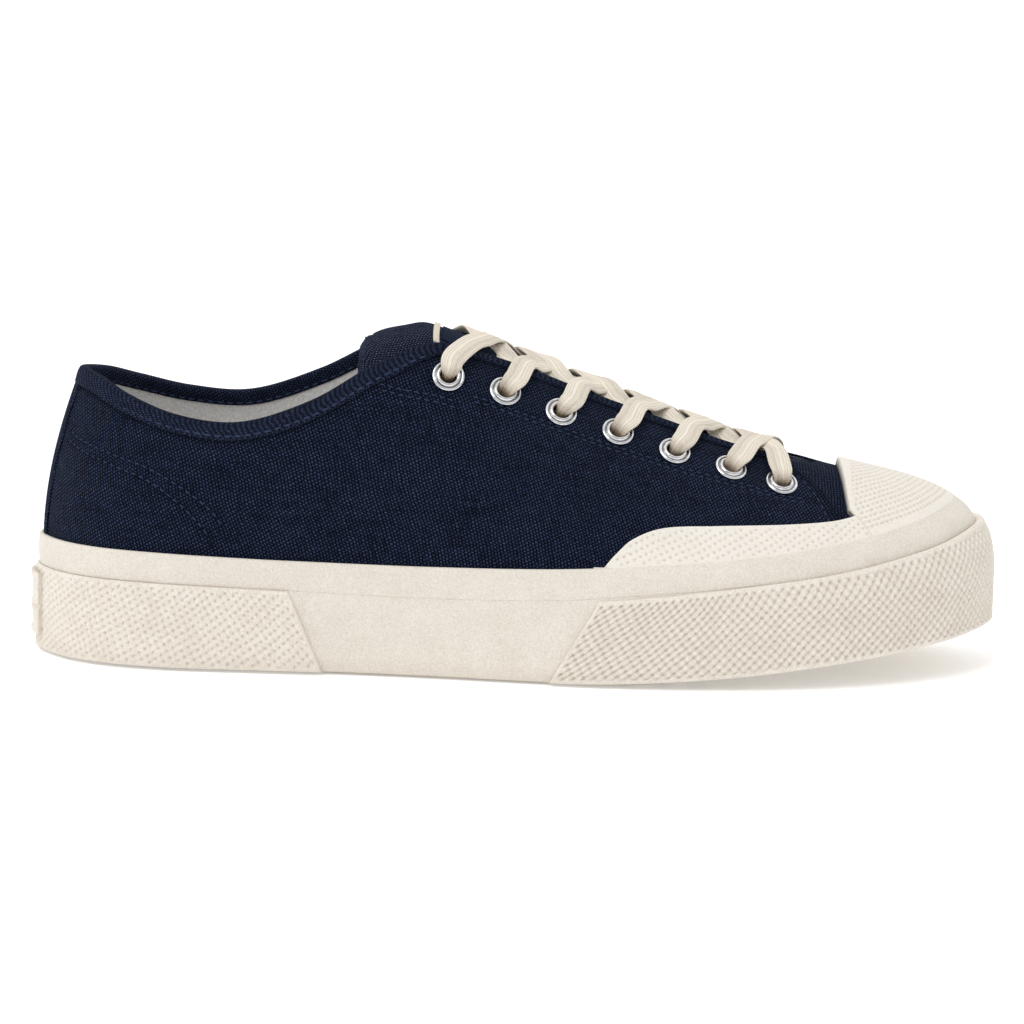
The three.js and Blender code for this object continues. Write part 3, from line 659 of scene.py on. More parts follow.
def tone(red: int, green: int, blue: int) -> tuple[float, float, float, float]:
    """A display colour, 0 to 255 a channel, as the linear colour that shaders take."""
    share = [c / 255 for c in (red, green, blue)]
    return (*(c / 12.92 if c <= 0.04045 else ((c + 0.055) / 1.055) ** 2.4 for c in share), 1.0)


class Graph:
    """Adds nodes to a node tree and wires them, so that a material reads from top to bottom."""

    def __init__(self, tree: bpy.types.NodeTree) -> None:
        """Keeps the tree."""
        self.tree = tree

    def node(self, kind: str, **settings: object) -> bpy.types.Node:
        """Adds a node and sets its properties.

        Args:
            kind: The node type.
            **settings: Values of its properties.

        Returns:
            The new node.
        """
        node = self.tree.nodes.new(kind)
        for name, value in settings.items():
            setattr(node, name, value)
        return node

    def feed(self, socket: bpy.types.NodeSocket, value: object) -> None:
        """Links a socket or sets its value.

        Args:
            socket: The input to feed.
            value: A socket to link, a value to set, or None to leave it.
        """
        if isinstance(value, bpy.types.NodeSocket):
            self.tree.links.new(value, socket)
        elif value is not None:
            socket.default_value = value

    def math(self, operation: str, a: object, b: object = None, c: object = None) -> bpy.types.NodeSocket:
        """Adds a Math node.

        Args:
            operation: Blender's name of the operation.
            a: First value or socket.
            b: Second one, where there is one.
            c: Third one, where there is one.

        Returns:
            The result's socket.
        """
        node = self.node("ShaderNodeMath", operation=operation)
        for socket, value in zip(node.inputs, (a, b, c)):
            self.feed(socket, value)
        return node.outputs[0]

    def vector(self, operation: str, a: object, b: object) -> bpy.types.NodeSocket:
        """Adds a Vector Math node and returns its result.

        Args:
            operation: The operation's name.
            a: The first vector.
            b: The second vector.

        Returns:
            The result's socket.
        """
        node = self.node("ShaderNodeVectorMath", operation=operation)
        self.feed(node.inputs[0], a)
        self.feed(node.inputs[1], b)
        return node.outputs[0]

    def xyz(self, vector: bpy.types.NodeSocket) -> tuple[bpy.types.NodeSocket, ...]:
        """Splits a vector in its three parts.

        Args:
            vector: The vector to split.

        Returns:
            The sockets of x, y and z.
        """
        node = self.node("ShaderNodeSeparateXYZ")
        self.feed(node.inputs[0], vector)
        return tuple(node.outputs)

    def joined(self, x: object, y: object, z: object = 0.0) -> bpy.types.NodeSocket:
        """Makes a vector of three parts.

        Args:
            x: The first part.
            y: The second part.
            z: The third part.

        Returns:
            The vector's socket.
        """
        node = self.node("ShaderNodeCombineXYZ")
        for socket, value in zip(node.inputs, (x, y, z)):
            self.feed(socket, value)
        return node.outputs[0]

    def noise(
        self, vector: object, scale: float, detail: float = 3.0, rough: float = 0.55
    ) -> bpy.types.NodeSocket:
        """Adds a Noise Texture and returns its value.

        Args:
            vector: Where the noise is read.
            scale: Its scale.
            detail: Octaves.
            rough: Their roughness.

        Returns:
            The socket of the value, near 0.5 on average.
        """
        node = self.node("ShaderNodeTexNoise")
        self.feed(node.inputs["Vector"], vector)
        for name, value in (("Scale", scale), ("Detail", detail), ("Roughness", rough)):
            self.feed(node.inputs[name], value)
        return node.outputs["Fac"]

    def ramp(
        self, value: object, low: float, high: float, out_low: float = 0.0, out_high: float = 1.0
    ) -> bpy.types.NodeSocket:
        """Maps a range of values to another one, held at its ends.

        Args:
            value: The value.
            low: Start of its range.
            high: End of its range.
            out_low: What the start becomes.
            out_high: What the end becomes.

        Returns:
            The socket of the result.
        """
        node = self.node("ShaderNodeMapRange", clamp=True)
        for socket, given in zip(node.inputs, (value, low, high, out_low, out_high)):
            self.feed(socket, given)
        return node.outputs[0]

    def blend(self, share: object, a: object, b: object) -> bpy.types.NodeSocket:
        """Mixes two colours.

        Args:
            share: How much of b there is, from 0 to 1.
            a: The first colour.
            b: The second colour.

        Returns:
            The mixed colour's socket.
        """
        node = self.node("ShaderNodeMix", data_type="RGBA")
        self.feed(node.inputs[0], share)
        self.feed(node.inputs[6], a)
        self.feed(node.inputs[7], b)
        return node.outputs[2]

    def group(self, group: bpy.types.NodeTree, **inputs: object) -> bpy.types.Node:
        """Places a node group and feeds its inputs, whose names have _ for a space.

        Args:
            group: The node group.
            **inputs: What feeds each input.

        Returns:
            The group's node.
        """
        node = self.node("ShaderNodeGroup", node_tree=group)
        for name, value in inputs.items():
            self.feed(node.inputs[name.replace("_", " ")], value)
        return node


def new_group(
    name: str, inputs: dict[str, float | None], outputs: Sequence[str]
) -> tuple[Graph, bpy.types.Node, bpy.types.Node]:
    """Starts a shader node group.

    Args:
        name: The group's name.
        inputs: Input names with their default values, where None means a vector.
        outputs: Names of its outputs, which are all values.

    Returns:
        The graph of the group, its input node and its output node.
    """
    tree = bpy.data.node_groups.new(name, "ShaderNodeTree")
    for title, value in inputs.items():
        kind = "NodeSocketVector" if value is None else "NodeSocketFloat"
        socket = tree.interface.new_socket(name=title, in_out="INPUT", socket_type=kind)
        if value is not None:
            socket.default_value = value
    for title in outputs:
        tree.interface.new_socket(name=title, in_out="OUTPUT", socket_type="NodeSocketFloat")
    graph = Graph(tree)
    return graph, graph.node("NodeGroupInput"), graph.node("NodeGroupOutput")


class Effects:
    """The node groups that the finishes share, each built once."""

    def __init__(self) -> None:
        """Builds them all."""
        self.weave = self.build_weave()
        self.grain = self.build_grain()
        self.dust_and_shade = self.build_dust_and_shade()
        self.braid = self.build_braid()

    @staticmethod
    def build_weave() -> bpy.types.NodeTree:
        """A plain weave: yarns that pass over and under each other, uneven from yarn to yarn. Its gap output
        marks the low places between the yarns, which the cloth darkens with painted shade.

        Returns:
            The node group.
        """
        g, into, out = new_group(
            "plain_weave", {
                "Vector": None, "Warp Pitch": 1.0, "Weft Pitch": 0.5, "Slub": 0.3
            }, ("Height", "GapShade", "Tone")
        )
        x, y, _ = g.xyz(into.outputs["Vector"])
        stray = g.joined(
            g.math("SUBTRACT", g.noise(into.outputs["Vector"], 0.35), 0.5),
            g.math(
                "SUBTRACT", g.noise(g.vector("ADD", into.outputs["Vector"], (31.0, 17.0, 0.0)), 0.35), 0.5
            ),
        )
        sway = g.node("ShaderNodeVectorMath", operation="SCALE")
        g.feed(sway.inputs[0], stray)
        g.feed(sway.inputs["Scale"], g.math("MULTIPLY", into.outputs["Slub"], 3.0))
        dx, dy, _ = g.xyz(sway.outputs[0])
        column = g.math("DIVIDE", g.math("ADD", x, dx), into.outputs["Warp Pitch"])
        row = g.math("DIVIDE", g.math("ADD", y, dy), into.outputs["Weft Pitch"])
        warp = g.math("SINE", g.math("MULTIPLY", column, math.pi))
        weft = g.math("SINE", g.math("MULTIPLY", row, math.pi))
        both = g.math("MULTIPLY", warp, weft)
        over = g.math("ADD", g.math("ABSOLUTE", warp), both)
        under = g.math("MULTIPLY", g.math("SUBTRACT", g.math("ABSOLUTE", weft), both), 0.42)
        height = g.math("MULTIPLY", g.math("MAXIMUM", over, under), 0.5)
        yarn = g.noise(
            g.joined(g.math("MULTIPLY", g.math("FLOOR", column), 5.3), g.math("MULTIPLY", row, 0.11)), 1.0
        )
        pick = g.noise(
            g.joined(g.math("MULTIPLY", column, 0.11), g.math("MULTIPLY", g.math("FLOOR", row), 5.3)), 1.0
        )
        fuzz = g.noise(into.outputs["Vector"], 2.6, 2.0)
        height = g.math("MULTIPLY", height, g.ramp(fuzz, 0.25, 0.75, 0.72, 1.12))
        g.feed(out.inputs["Height"], height)
        # High in the low places between the yarns, where the cloth paints shade.
        g.feed(out.inputs["GapShade"], g.ramp(height, 0.24, 0.74, 1.0, 0.0))
        g.feed(out.inputs["Tone"], g.math("MULTIPLY", g.math("ADD", yarn, pick), 0.5))
        return g.tree

    @staticmethod
    def build_grain() -> bpy.types.NodeTree:
        """The fine skin of moulded rubber: shallow pores and long faint swells.

        Returns:
            The node group.
        """
        g, into, out = new_group(
            "rubber_grain", {"Vector": None, "Pore": 1.6, "Swell": 0.12}, ("Height", "Tone")
        )
        vector = into.outputs["Vector"]
        pores = g.noise(vector, into.outputs["Pore"], 4.0, 0.7)
        swell = g.noise(vector, into.outputs["Swell"], 2.0)
        height = g.math("ADD", g.math("MULTIPLY", pores, 0.6), g.math("MULTIPLY", swell, 0.9))
        g.feed(out.inputs["Height"], height)
        g.feed(
            out.inputs["Tone"],
            g.math("ADD", g.math("MULTIPLY", pores, 0.85), g.math("MULTIPLY", swell, 0.15)),
        )
        return g.tree

    @staticmethod
    def build_dust_and_shade() -> bpy.types.NodeTree:
        """Painted shade in hollows, a little dust in patches and a darkening towards the bottom of the shoe,
        with the high spots that are rubbed.

        Returns:
            The node group.
        """
        g, into, out = new_group(
            "dust_and_hollow_shade", {
                "Vector": None, "Relief": 1.0, "Patchiness": 0.04, "Low Edge": 2.0
            }, ("Mask", "Rubbed")
        )
        # Painted shade where the relief is low, in grooves, pits and round the patch.
        hollow_shade = g.ramp(into.outputs["Relief"], 0.0, 0.85, 1.0, 0.0)
        patches = g.ramp(g.noise(into.outputs["Vector"], into.outputs["Patchiness"], 4.0, 0.65), 0.38, 0.72)
        _, _, z = g.xyz(into.outputs["Vector"])
        low = g.ramp(g.math("DIVIDE", z, into.outputs["Low Edge"]), 0.3, 3.0, 1.0, 0.0)
        mask = g.math("ADD", g.math("MULTIPLY", hollow_shade, 0.75), g.math("MULTIPLY", patches, 0.06))
        g.feed(
            out.inputs["Mask"], g.math("MINIMUM", g.math("ADD", mask, g.math("MULTIPLY", low, 0.35)), 1.0)
        )
        g.feed(out.inputs["Rubbed"], g.ramp(into.outputs["Relief"], 0.8, 1.0))
        return g.tree

    @staticmethod
    def build_braid() -> bpy.types.NodeTree:
        """A flat braided tape: ribs along it, each of slanting yarns.

        Returns:
            The node group.
        """
        g, into, out = new_group("braid", {"Vector": None, "Rib": 1.1, "Slant": 0.9}, ("Height", "Tone"))
        x, y, _ = g.xyz(into.outputs["Vector"])
        rib = g.math("DIVIDE", y, into.outputs["Rib"])
        ridge = g.math("ABSOLUTE", g.math("SINE", g.math("MULTIPLY", rib, math.pi)))
        side = g.math("SUBTRACT", g.math("MULTIPLY", g.math("PINGPONG", rib, 1.0), 2.0), 1.0)
        slant = g.math("MULTIPLY", side, into.outputs["Slant"])
        yarns = g.math(
            "ABSOLUTE",
            g.math("SINE", g.math("MULTIPLY", g.math("ADD", g.math("DIVIDE", x, 0.55), slant), math.pi)),
        )
        fuzz = g.noise(g.vector("MULTIPLY", into.outputs["Vector"], (0.5, 2.5, 1.0)), 1.3, 4.0)
        height = g.math("ADD", g.math("MULTIPLY", ridge, 0.65), g.math("MULTIPLY", yarns, 0.35))
        g.feed(
            out.inputs["Height"],
            g.math("ADD", g.math("MULTIPLY", height, 0.7), g.math("MULTIPLY", fuzz, 0.3)),
        )
        mixed = g.math("ADD", g.math("MULTIPLY", ridge, 0.55), g.math("MULTIPLY", yarns, 0.3))
        g.feed(out.inputs["Tone"], g.math("ADD", mixed, g.math("MULTIPLY", g.ramp(fuzz, 0.3, 0.7), 0.15)))
        return g.tree


# ---- Finishes ------------------------------------------------------------------------------------


class Place(Enum):
    """Where a finish reads its pattern, in millimetres: on flat cloth or in the shoe's space."""

    CLOTH = "cloth"
    SPACE = "space"


class Finish:
    """What every finish shares: a material with a shader, and its pattern's coordinates."""

    name: str

    def start(self) -> tuple[bpy.types.Material, Graph, bpy.types.Node]:
        """Makes an empty material with a Principled shader.

        Returns:
            The material, its graph and the shader node.
        """
        material = bpy.data.materials.new(self.name)
        material.use_nodes = True
        tree = material.node_tree
        tree.nodes.clear()
        graph = Graph(tree)
        shader = graph.node("ShaderNodeBsdfPrincipled")
        graph.feed(graph.node("ShaderNodeOutputMaterial").inputs["Surface"], shader.outputs[0])
        return material, graph, shader

    @staticmethod
    def where(graph: Graph, place: Place) -> bpy.types.NodeSocket:
        """The pattern's coordinates in millimetres.

        Args:
            graph: The material's graph.
            place: Which coordinates to use.

        Returns:
            The coordinates' socket.
        """
        if place is Place.CLOTH:
            return graph.node("ShaderNodeUVMap", uv_map="cloth_mm").outputs[0]
        return graph.vector("MULTIPLY", graph.node("ShaderNodeTexCoord").outputs["Object"], (1 / MM,) * 3)

    @staticmethod
    def relief(graph: Graph) -> bpy.types.NodeSocket:
        """How high a point stands in its piece's own relief, from 0 to 1. The finishes darken low points
        with painted shade.
        """
        return graph.node("ShaderNodeAttribute", attribute_name="relief").outputs["Fac"]

    @staticmethod
    def bump(
        graph: Graph, shader: bpy.types.Node, height: object, depth: float, strength: float = 1.0
    ) -> None:
        """Raises the surface by a height of up to depth millimetres.

        Args:
            graph: The material's graph.
            shader: The shader whose normal it feeds.
            height: The height, from 0 to 1.
            depth: The full height in millimetres.
            strength: How much of the effect shows.
        """
        node = graph.node("ShaderNodeBump")
        node.inputs["Distance"].default_value = depth * MM
        node.inputs["Strength"].default_value = strength
        graph.feed(node.inputs["Height"], height)
        graph.feed(shader.inputs["Normal"], node.outputs[0])


@dataclass(frozen=True)
class Cloth(Finish):
    """Woven cotton in one dye, with painted shade in the gaps between the yarns and along sunk seams, and a
    pale bloom on top of them.
    """

    name: str
    painted_shade: tuple[float, float, float, float]
    dyed: tuple[float, float, float, float]
    bloom: tuple[float, float, float, float]
    warp: float = 1.0
    weft: float = 0.52
    slub: float = 0.34
    depth: float = 0.4
    rough: float = 0.92
    sheen: float = 0.02

    def build(self, effects: Effects) -> bpy.types.Material:
        """Wires the material.

        Args:
            effects: The shared effect groups.

        Returns:
            The finished material.
        """
        material, g, shader = self.start()
        where = self.where(g, Place.CLOTH)
        weave = g.group(
            effects.weave, Vector=where, Warp_Pitch=self.warp, Weft_Pitch=self.weft, Slub=self.slub
        )
        cloud = g.noise(self.where(g, Place.SPACE), 0.06, 3.0)
        top = g.blend(g.ramp(weave.outputs["Tone"], 0.38, 0.66), self.dyed, self.bloom)
        worn = g.blend(g.ramp(cloud, 0.35, 0.75, 0.0, 0.35), top, self.bloom)
        # Painted shade: the darkest tone fills the gaps between the yarns.
        colour = g.blend(weave.outputs["GapShade"], worn, self.painted_shade)
        # Painted shade along the sunk seams, where the relief is low.
        colour = g.blend(g.ramp(self.relief(g), 0.0, 1.0, 0.75, 0.0), colour, self.painted_shade)
        g.feed(shader.inputs["Base Color"], colour)
        g.feed(
            shader.inputs["Roughness"], g.ramp(weave.outputs["Height"], 0.0, 1.0, 1.0, self.rough - 0.12)
        )
        shader.inputs["Sheen Weight"].default_value = self.sheen
        shader.inputs["Specular IOR Level"].default_value = 0.05
        self.bump(g, shader, weave.outputs["Height"], self.depth)
        return material


@dataclass(frozen=True)
class Rubber(Finish):
    """Moulded natural rubber, warm white, with fine pores, a little dust, painted shade in its hollows and a
    darker tone towards the bottom.
    """

    name: str
    clean: tuple[float, float, float, float]
    shaded: tuple[float, float, float, float]
    dust_shade_tone: tuple[float, float, float, float]
    pore: float = 1.7
    depth: float = 0.4
    rough: float = 0.62
    patch: float = 0.04

    def build(self, effects: Effects) -> bpy.types.Material:
        """Wires the material.

        Args:
            effects: The shared effect groups.

        Returns:
            The finished material.
        """
        material, g, shader = self.start()
        where = self.where(g, Place.SPACE)
        grain = g.group(effects.grain, Vector=where, Pore=self.pore)
        dust_and_shade = g.group(effects.dust_and_shade, Vector=where, Relief=self.relief(g), Patchiness=self.patch)
        colour = g.blend(g.ramp(grain.outputs["Tone"], 0.36, 0.62), self.shaded, self.clean)
        # One darker tone carries both the dust and the painted shade of the mask.
        colour = g.blend(g.math("MULTIPLY", dust_and_shade.outputs["Mask"], 0.5), colour, self.dust_shade_tone)
        g.feed(shader.inputs["Base Color"], colour)
        rough = g.ramp(dust_and_shade.outputs["Rubbed"], 0.0, 1.0, min(1.0, self.rough + 0.18), self.rough)
        g.feed(shader.inputs["Roughness"], rough)
        shader.inputs["Specular IOR Level"].default_value = 0.35
        self.bump(g, shader, grain.outputs["Height"], self.depth)
        return material


@dataclass(frozen=True)
class Tape(Finish):
    """Braided cotton tape, for the lace and the cream tab, with painted shade where its relief is low."""

    name: str
    pale: tuple[float, float, float, float]
    warm: tuple[float, float, float, float]
    rib: float = 1.25
    depth: float = 0.25

    def build(self, effects: Effects) -> bpy.types.Material:
        """Wires the material.

        Args:
            effects: The shared effect groups.

        Returns:
            The finished material.
        """
        material, g, shader = self.start()
        where = self.where(g, Place.CLOTH)
        braid = g.group(effects.braid, Vector=where, Rib=self.rib)
        # Painted shade where the relief is low, as inside the eyelets.
        hollow_shade = g.ramp(self.relief(g), 0.0, 1.0, 1.0, 0.0)
        colour = g.blend(g.ramp(braid.outputs["Tone"], 0.15, 0.75), self.warm, self.pale)
        g.feed(shader.inputs["Base Color"], g.blend(hollow_shade, colour, tone(140, 116, 88)))
        g.feed(shader.inputs["Roughness"], g.ramp(braid.outputs["Height"], 0.0, 1.0, 1.0, 0.82))
        shader.inputs["Specular IOR Level"].default_value = 0.06
        self.bump(g, shader, braid.outputs["Height"], self.depth)
        return material


@dataclass(frozen=True)
class Knit(Finish):
    """A pale brushed lining cloth with short loops."""

    name: str
    pale: tuple[float, float, float, float]
    shade: tuple[float, float, float, float]
    loop: float = 1.1
    depth: float = 0.35

    def build(self, effects: Effects) -> bpy.types.Material:
        """Wires the material.

        Args:
            effects: The shared effect groups.

        Returns:
            The finished material.
        """
        material, g, shader = self.start()
        where = self.where(g, Place.SPACE)
        loops = g.noise(where, self.loop, 3.0, 0.6)
        weave = g.group(
            effects.weave, Vector=self.where(g, Place.CLOTH), Warp_Pitch=0.8, Weft_Pitch=0.5, Slub=0.5
        )
        height = g.math(
            "ADD", g.math("MULTIPLY", loops, 0.8), g.math("MULTIPLY", weave.outputs["Height"], 0.3)
        )
        g.feed(shader.inputs["Base Color"], g.blend(g.ramp(height, 0.35, 0.75), self.shade, self.pale))
        g.feed(shader.inputs["Roughness"], g.ramp(loops, 0.3, 0.7, 1.0, 0.85))
        shader.inputs["Sheen Weight"].default_value = 0.2
        shader.inputs["Specular IOR Level"].default_value = 0.2
        self.bump(g, shader, height, self.depth)
        return material


@dataclass(frozen=True)
class Plating(Finish):
    """Bright nickel plate with faint turning marks, and painted shade in the ring's bore, groove and foot.
    """

    name: str
    bright: tuple[float, float, float, float]
    dull: tuple[float, float, float, float]

    def build(self, effects: Effects) -> bpy.types.Material:
        """Wires the material.

        Args:
            effects: The shared effect groups.

        Returns:
            The finished material.
        """
        material, g, shader = self.start()
        where = self.where(g, Place.SPACE)
        haze = g.noise(where, 0.5, 3.0)
        marks = g.noise(g.vector("MULTIPLY", self.where(g, Place.CLOTH), (0.4, 9.0, 1.0)), 1.5, 2.0)
        plate = g.blend(g.ramp(haze, 0.35, 0.7), self.bright, self.dull)
        # Painted shade where the relief is low: the bore, the groove and the foot.
        g.feed(
            shader.inputs["Base Color"],
            g.blend(g.ramp(self.relief(g), 0.0, 1.0, 0.95, 0.0), plate, tone(58, 56, 53)),
        )
        g.feed(
            shader.inputs["Roughness"],
            g.ramp(g.math("ADD", haze, g.math("MULTIPLY", marks, 0.4)), 0.5, 0.95, 0.06, 0.2),
        )
        shader.inputs["Metallic"].default_value = 1.0
        self.bump(g, shader, marks, 0.01, 0.4)
        return material


@dataclass
class Finishes:
    """Every material of the shoe, by what it covers."""

    effects: Effects = field(default_factory=Effects)

    def __post_init__(self) -> None:
        """Builds the materials."""
        # The first tone is painted shade, for the gaps between the yarns and the seams.
        painted_shade, dyed, bloom = tone(4, 7, 16), tone(25, 35, 59), tone(66, 81, 115)
        self.canvas = Cloth("navy_duck", painted_shade, dyed, bloom).build(self.effects)
        self.tongue = Cloth(
            "navy_tongue_duck", painted_shade, tone(48, 58, 82), tone(88, 101, 132), 0.9, 0.48
        ).build(self.effects)
        self.binding = Cloth(
            "navy_binding", tone(10, 13, 23), tone(37, 47, 72), tone(70, 84, 117), 0.85, 0.45, 0.3, 0.3
        ).build(self.effects)
        self.thread = Tape("navy_thread", tone(62, 75, 104), tone(34, 44, 68), 0.4, 0.1).build(self.effects)
        self.lining = Knit("lining_knit", tone(254, 253, 252), tone(226, 225, 223)).build(self.effects)
        self.insole = Knit(
            "insole_cloth", tone(222, 218, 211), tone(186, 181, 173), 0.8, 0.2
        ).build(self.effects)
        # The last tone is both dust and painted shade.
        pale, shade, dust_shade_tone = tone(239, 233, 223), tone(220, 211, 198), tone(184, 171, 152)
        self.rand = Rubber("smooth_rubber", pale, shade, dust_shade_tone).build(self.effects)
        self.strip = Rubber("strip_rubber", tone(240, 234, 224), shade, dust_shade_tone, 1.2, 0.15).build(self.effects)
        self.cap = Rubber(
            "cap_rubber", tone(242, 236, 227), tone(232, 225, 215), dust_shade_tone, 1.4, 0.15
        ).build(self.effects)
        self.tread = Rubber(
            "tread_rubber", tone(222, 214, 200), tone(206, 196, 180), tone(140, 124, 100), 1.0, 0.1, 0.75
        ).build(self.effects)
        self.lace = Tape(
            "lace_cotton", tone(245, 237, 223), tone(217, 204, 183), 0.6, 0.3
        ).build(self.effects)
        self.cream = Tape(
            "cream_tape", tone(228, 220, 203), tone(205, 194, 172), 0.7, 0.1
        ).build(self.effects)
        self.label = Cloth(
            "navy_label", tone(14, 18, 32), tone(34, 43, 66), tone(58, 70, 98), 0.5, 0.3, 0.05, 0.08
        ).build(self.effects)
        self.nickel = Plating("bright_nickel", tone(236, 236, 238), tone(196, 196, 199)).build(self.effects)


# ---- Seams ---------------------------------------------------------------------------------------


@dataclass
class Seam:
    """Rows of short raised stitches along lines on a surface, joined in one mesh."""

    length: float = 2.1
    gap: float = 0.95
    radius: float = 0.28
    sunk: float = 0.06

    def row(self, draft: Draft, track: np.ndarray, out: np.ndarray) -> None:
        """Adds one row of stitches.

        Args:
            draft: The mesh that takes them.
            track: Points of the line, close together.
            out: Directions square to the cloth at those points.
        """
        gone = np.concatenate([[0], np.cumsum(np.linalg.norm(np.diff(track, axis=0), axis=-1))])
        pitch = self.length + self.gap
        count = int((gone[-1] - self.length) / pitch)
        if count < 1:
            return
        along = np.array([-0.5, -0.46, -0.3, 0.0, 0.3, 0.46, 0.5]) * self.length
        girth = np.array([0.05, 0.5, 0.85, 1.0, 0.85, 0.5, 0.05]) * self.radius
        places = (np.arange(count)[:, None] + 0.5) * pitch + along[None, :]
        centre = np.stack([np.interp(places, gone, track[:, a]) for a in range(3)], -1)
        up = unit(np.stack([np.interp(places, gone, out[:, a]) for a in range(3)], -1))
        forward = unit(np.gradient(centre, axis=1))
        across = np.cross(forward, up)
        angle = np.arange(6) * math.pi / 3
        lift = centre + up * (girth * 0.8 - self.sunk)[None, :, None]
        for k in range(count):
            loop = lift[k][:, None] + across[k][:, None] * (
                np.cos(angle) * 1.15
            )[None, :, None] * girth[:, None, None]
            loop = loop + up[k][:, None] * np.sin(angle)[None, :, None] * girth[:, None, None]
            draft.tube(loop[:, ::-1])


# ---- Sole ----------------------------------------------------------------------------------------


@dataclass(frozen=True)
class Lattice:
    """A moulded pattern of knobs: two sets of grooves at their own angles, on a laid-out surface."""

    first_angle: float
    first_pitch: float
    second_angle: float
    second_pitch: float
    first_depth: float
    second_depth: float
    pit: float
    sharp: float = 3.0

    def sunk(self, s: np.ndarray, v: np.ndarray) -> tuple[np.ndarray, np.ndarray]:
        """How far the pattern sinks below the face.

        Args:
            s: The way along the piece.
            v: The way up it.

        Returns:
            The depth, and how high a point stands from 0 in a groove to 1 on a knob.
        """
        total, crossing = 0.0, self.pit
        stray = 0.12 * np.sin(s * 0.31 + v * 0.17) + 0.1 * np.sin(s * 0.113 - v * 0.41)
        for angle, pitch, depth in (
            (self.first_angle, self.first_pitch, self.first_depth),
            (self.second_angle, self.second_pitch, self.second_depth),
        ):
            way = math.radians(angle)
            phase = (s * math.cos(way) + v * math.sin(way) + stray) / pitch
            wave = 0.5 + 0.5 * np.cos(2 * math.pi * phase)
            total, crossing = total + depth * wave**self.sharp, crossing * wave**3.5
        total = total + crossing
        return total, 1 - np.clip(total / (0.8 * (self.first_depth + self.second_depth + self.pit)), 0, 1)


@dataclass(frozen=True)
class Pits:
    """A moulded pattern of beads with a pit between them, in staggered rows."""

    pitch: float = 2.0
    row: float = 1.7
    depth: float = 0.42
    width: float = 0.5
    bead: float = 0.12

    def sunk(self, s: np.ndarray, v: np.ndarray) -> tuple[np.ndarray, np.ndarray]:
        """How far the pattern sinks below the face, and how high a point stands in it from 0 to 1.

        Args:
            s: The way along the piece.
            v: The way up it.

        Returns:
            The depth, and how high a point stands from 0 to 1.
        """
        line = v / self.row
        near = np.round(line)
        shift = 0.5 * np.mod(near, 2)
        ds = (s / self.pitch - shift - np.round(s / self.pitch - shift)) * self.pitch
        dv = (line - near) * self.row
        pit = np.exp(-(ds**2 + (dv * 1.15) ** 2) / (self.width**2))
        wave = 0.5 + 0.5 * np.cos(2 * math.pi * line)
        return self.depth * pit + self.bead * wave, 1 - np.clip(pit * 1.1 + 0.2 * wave, 0, 1)


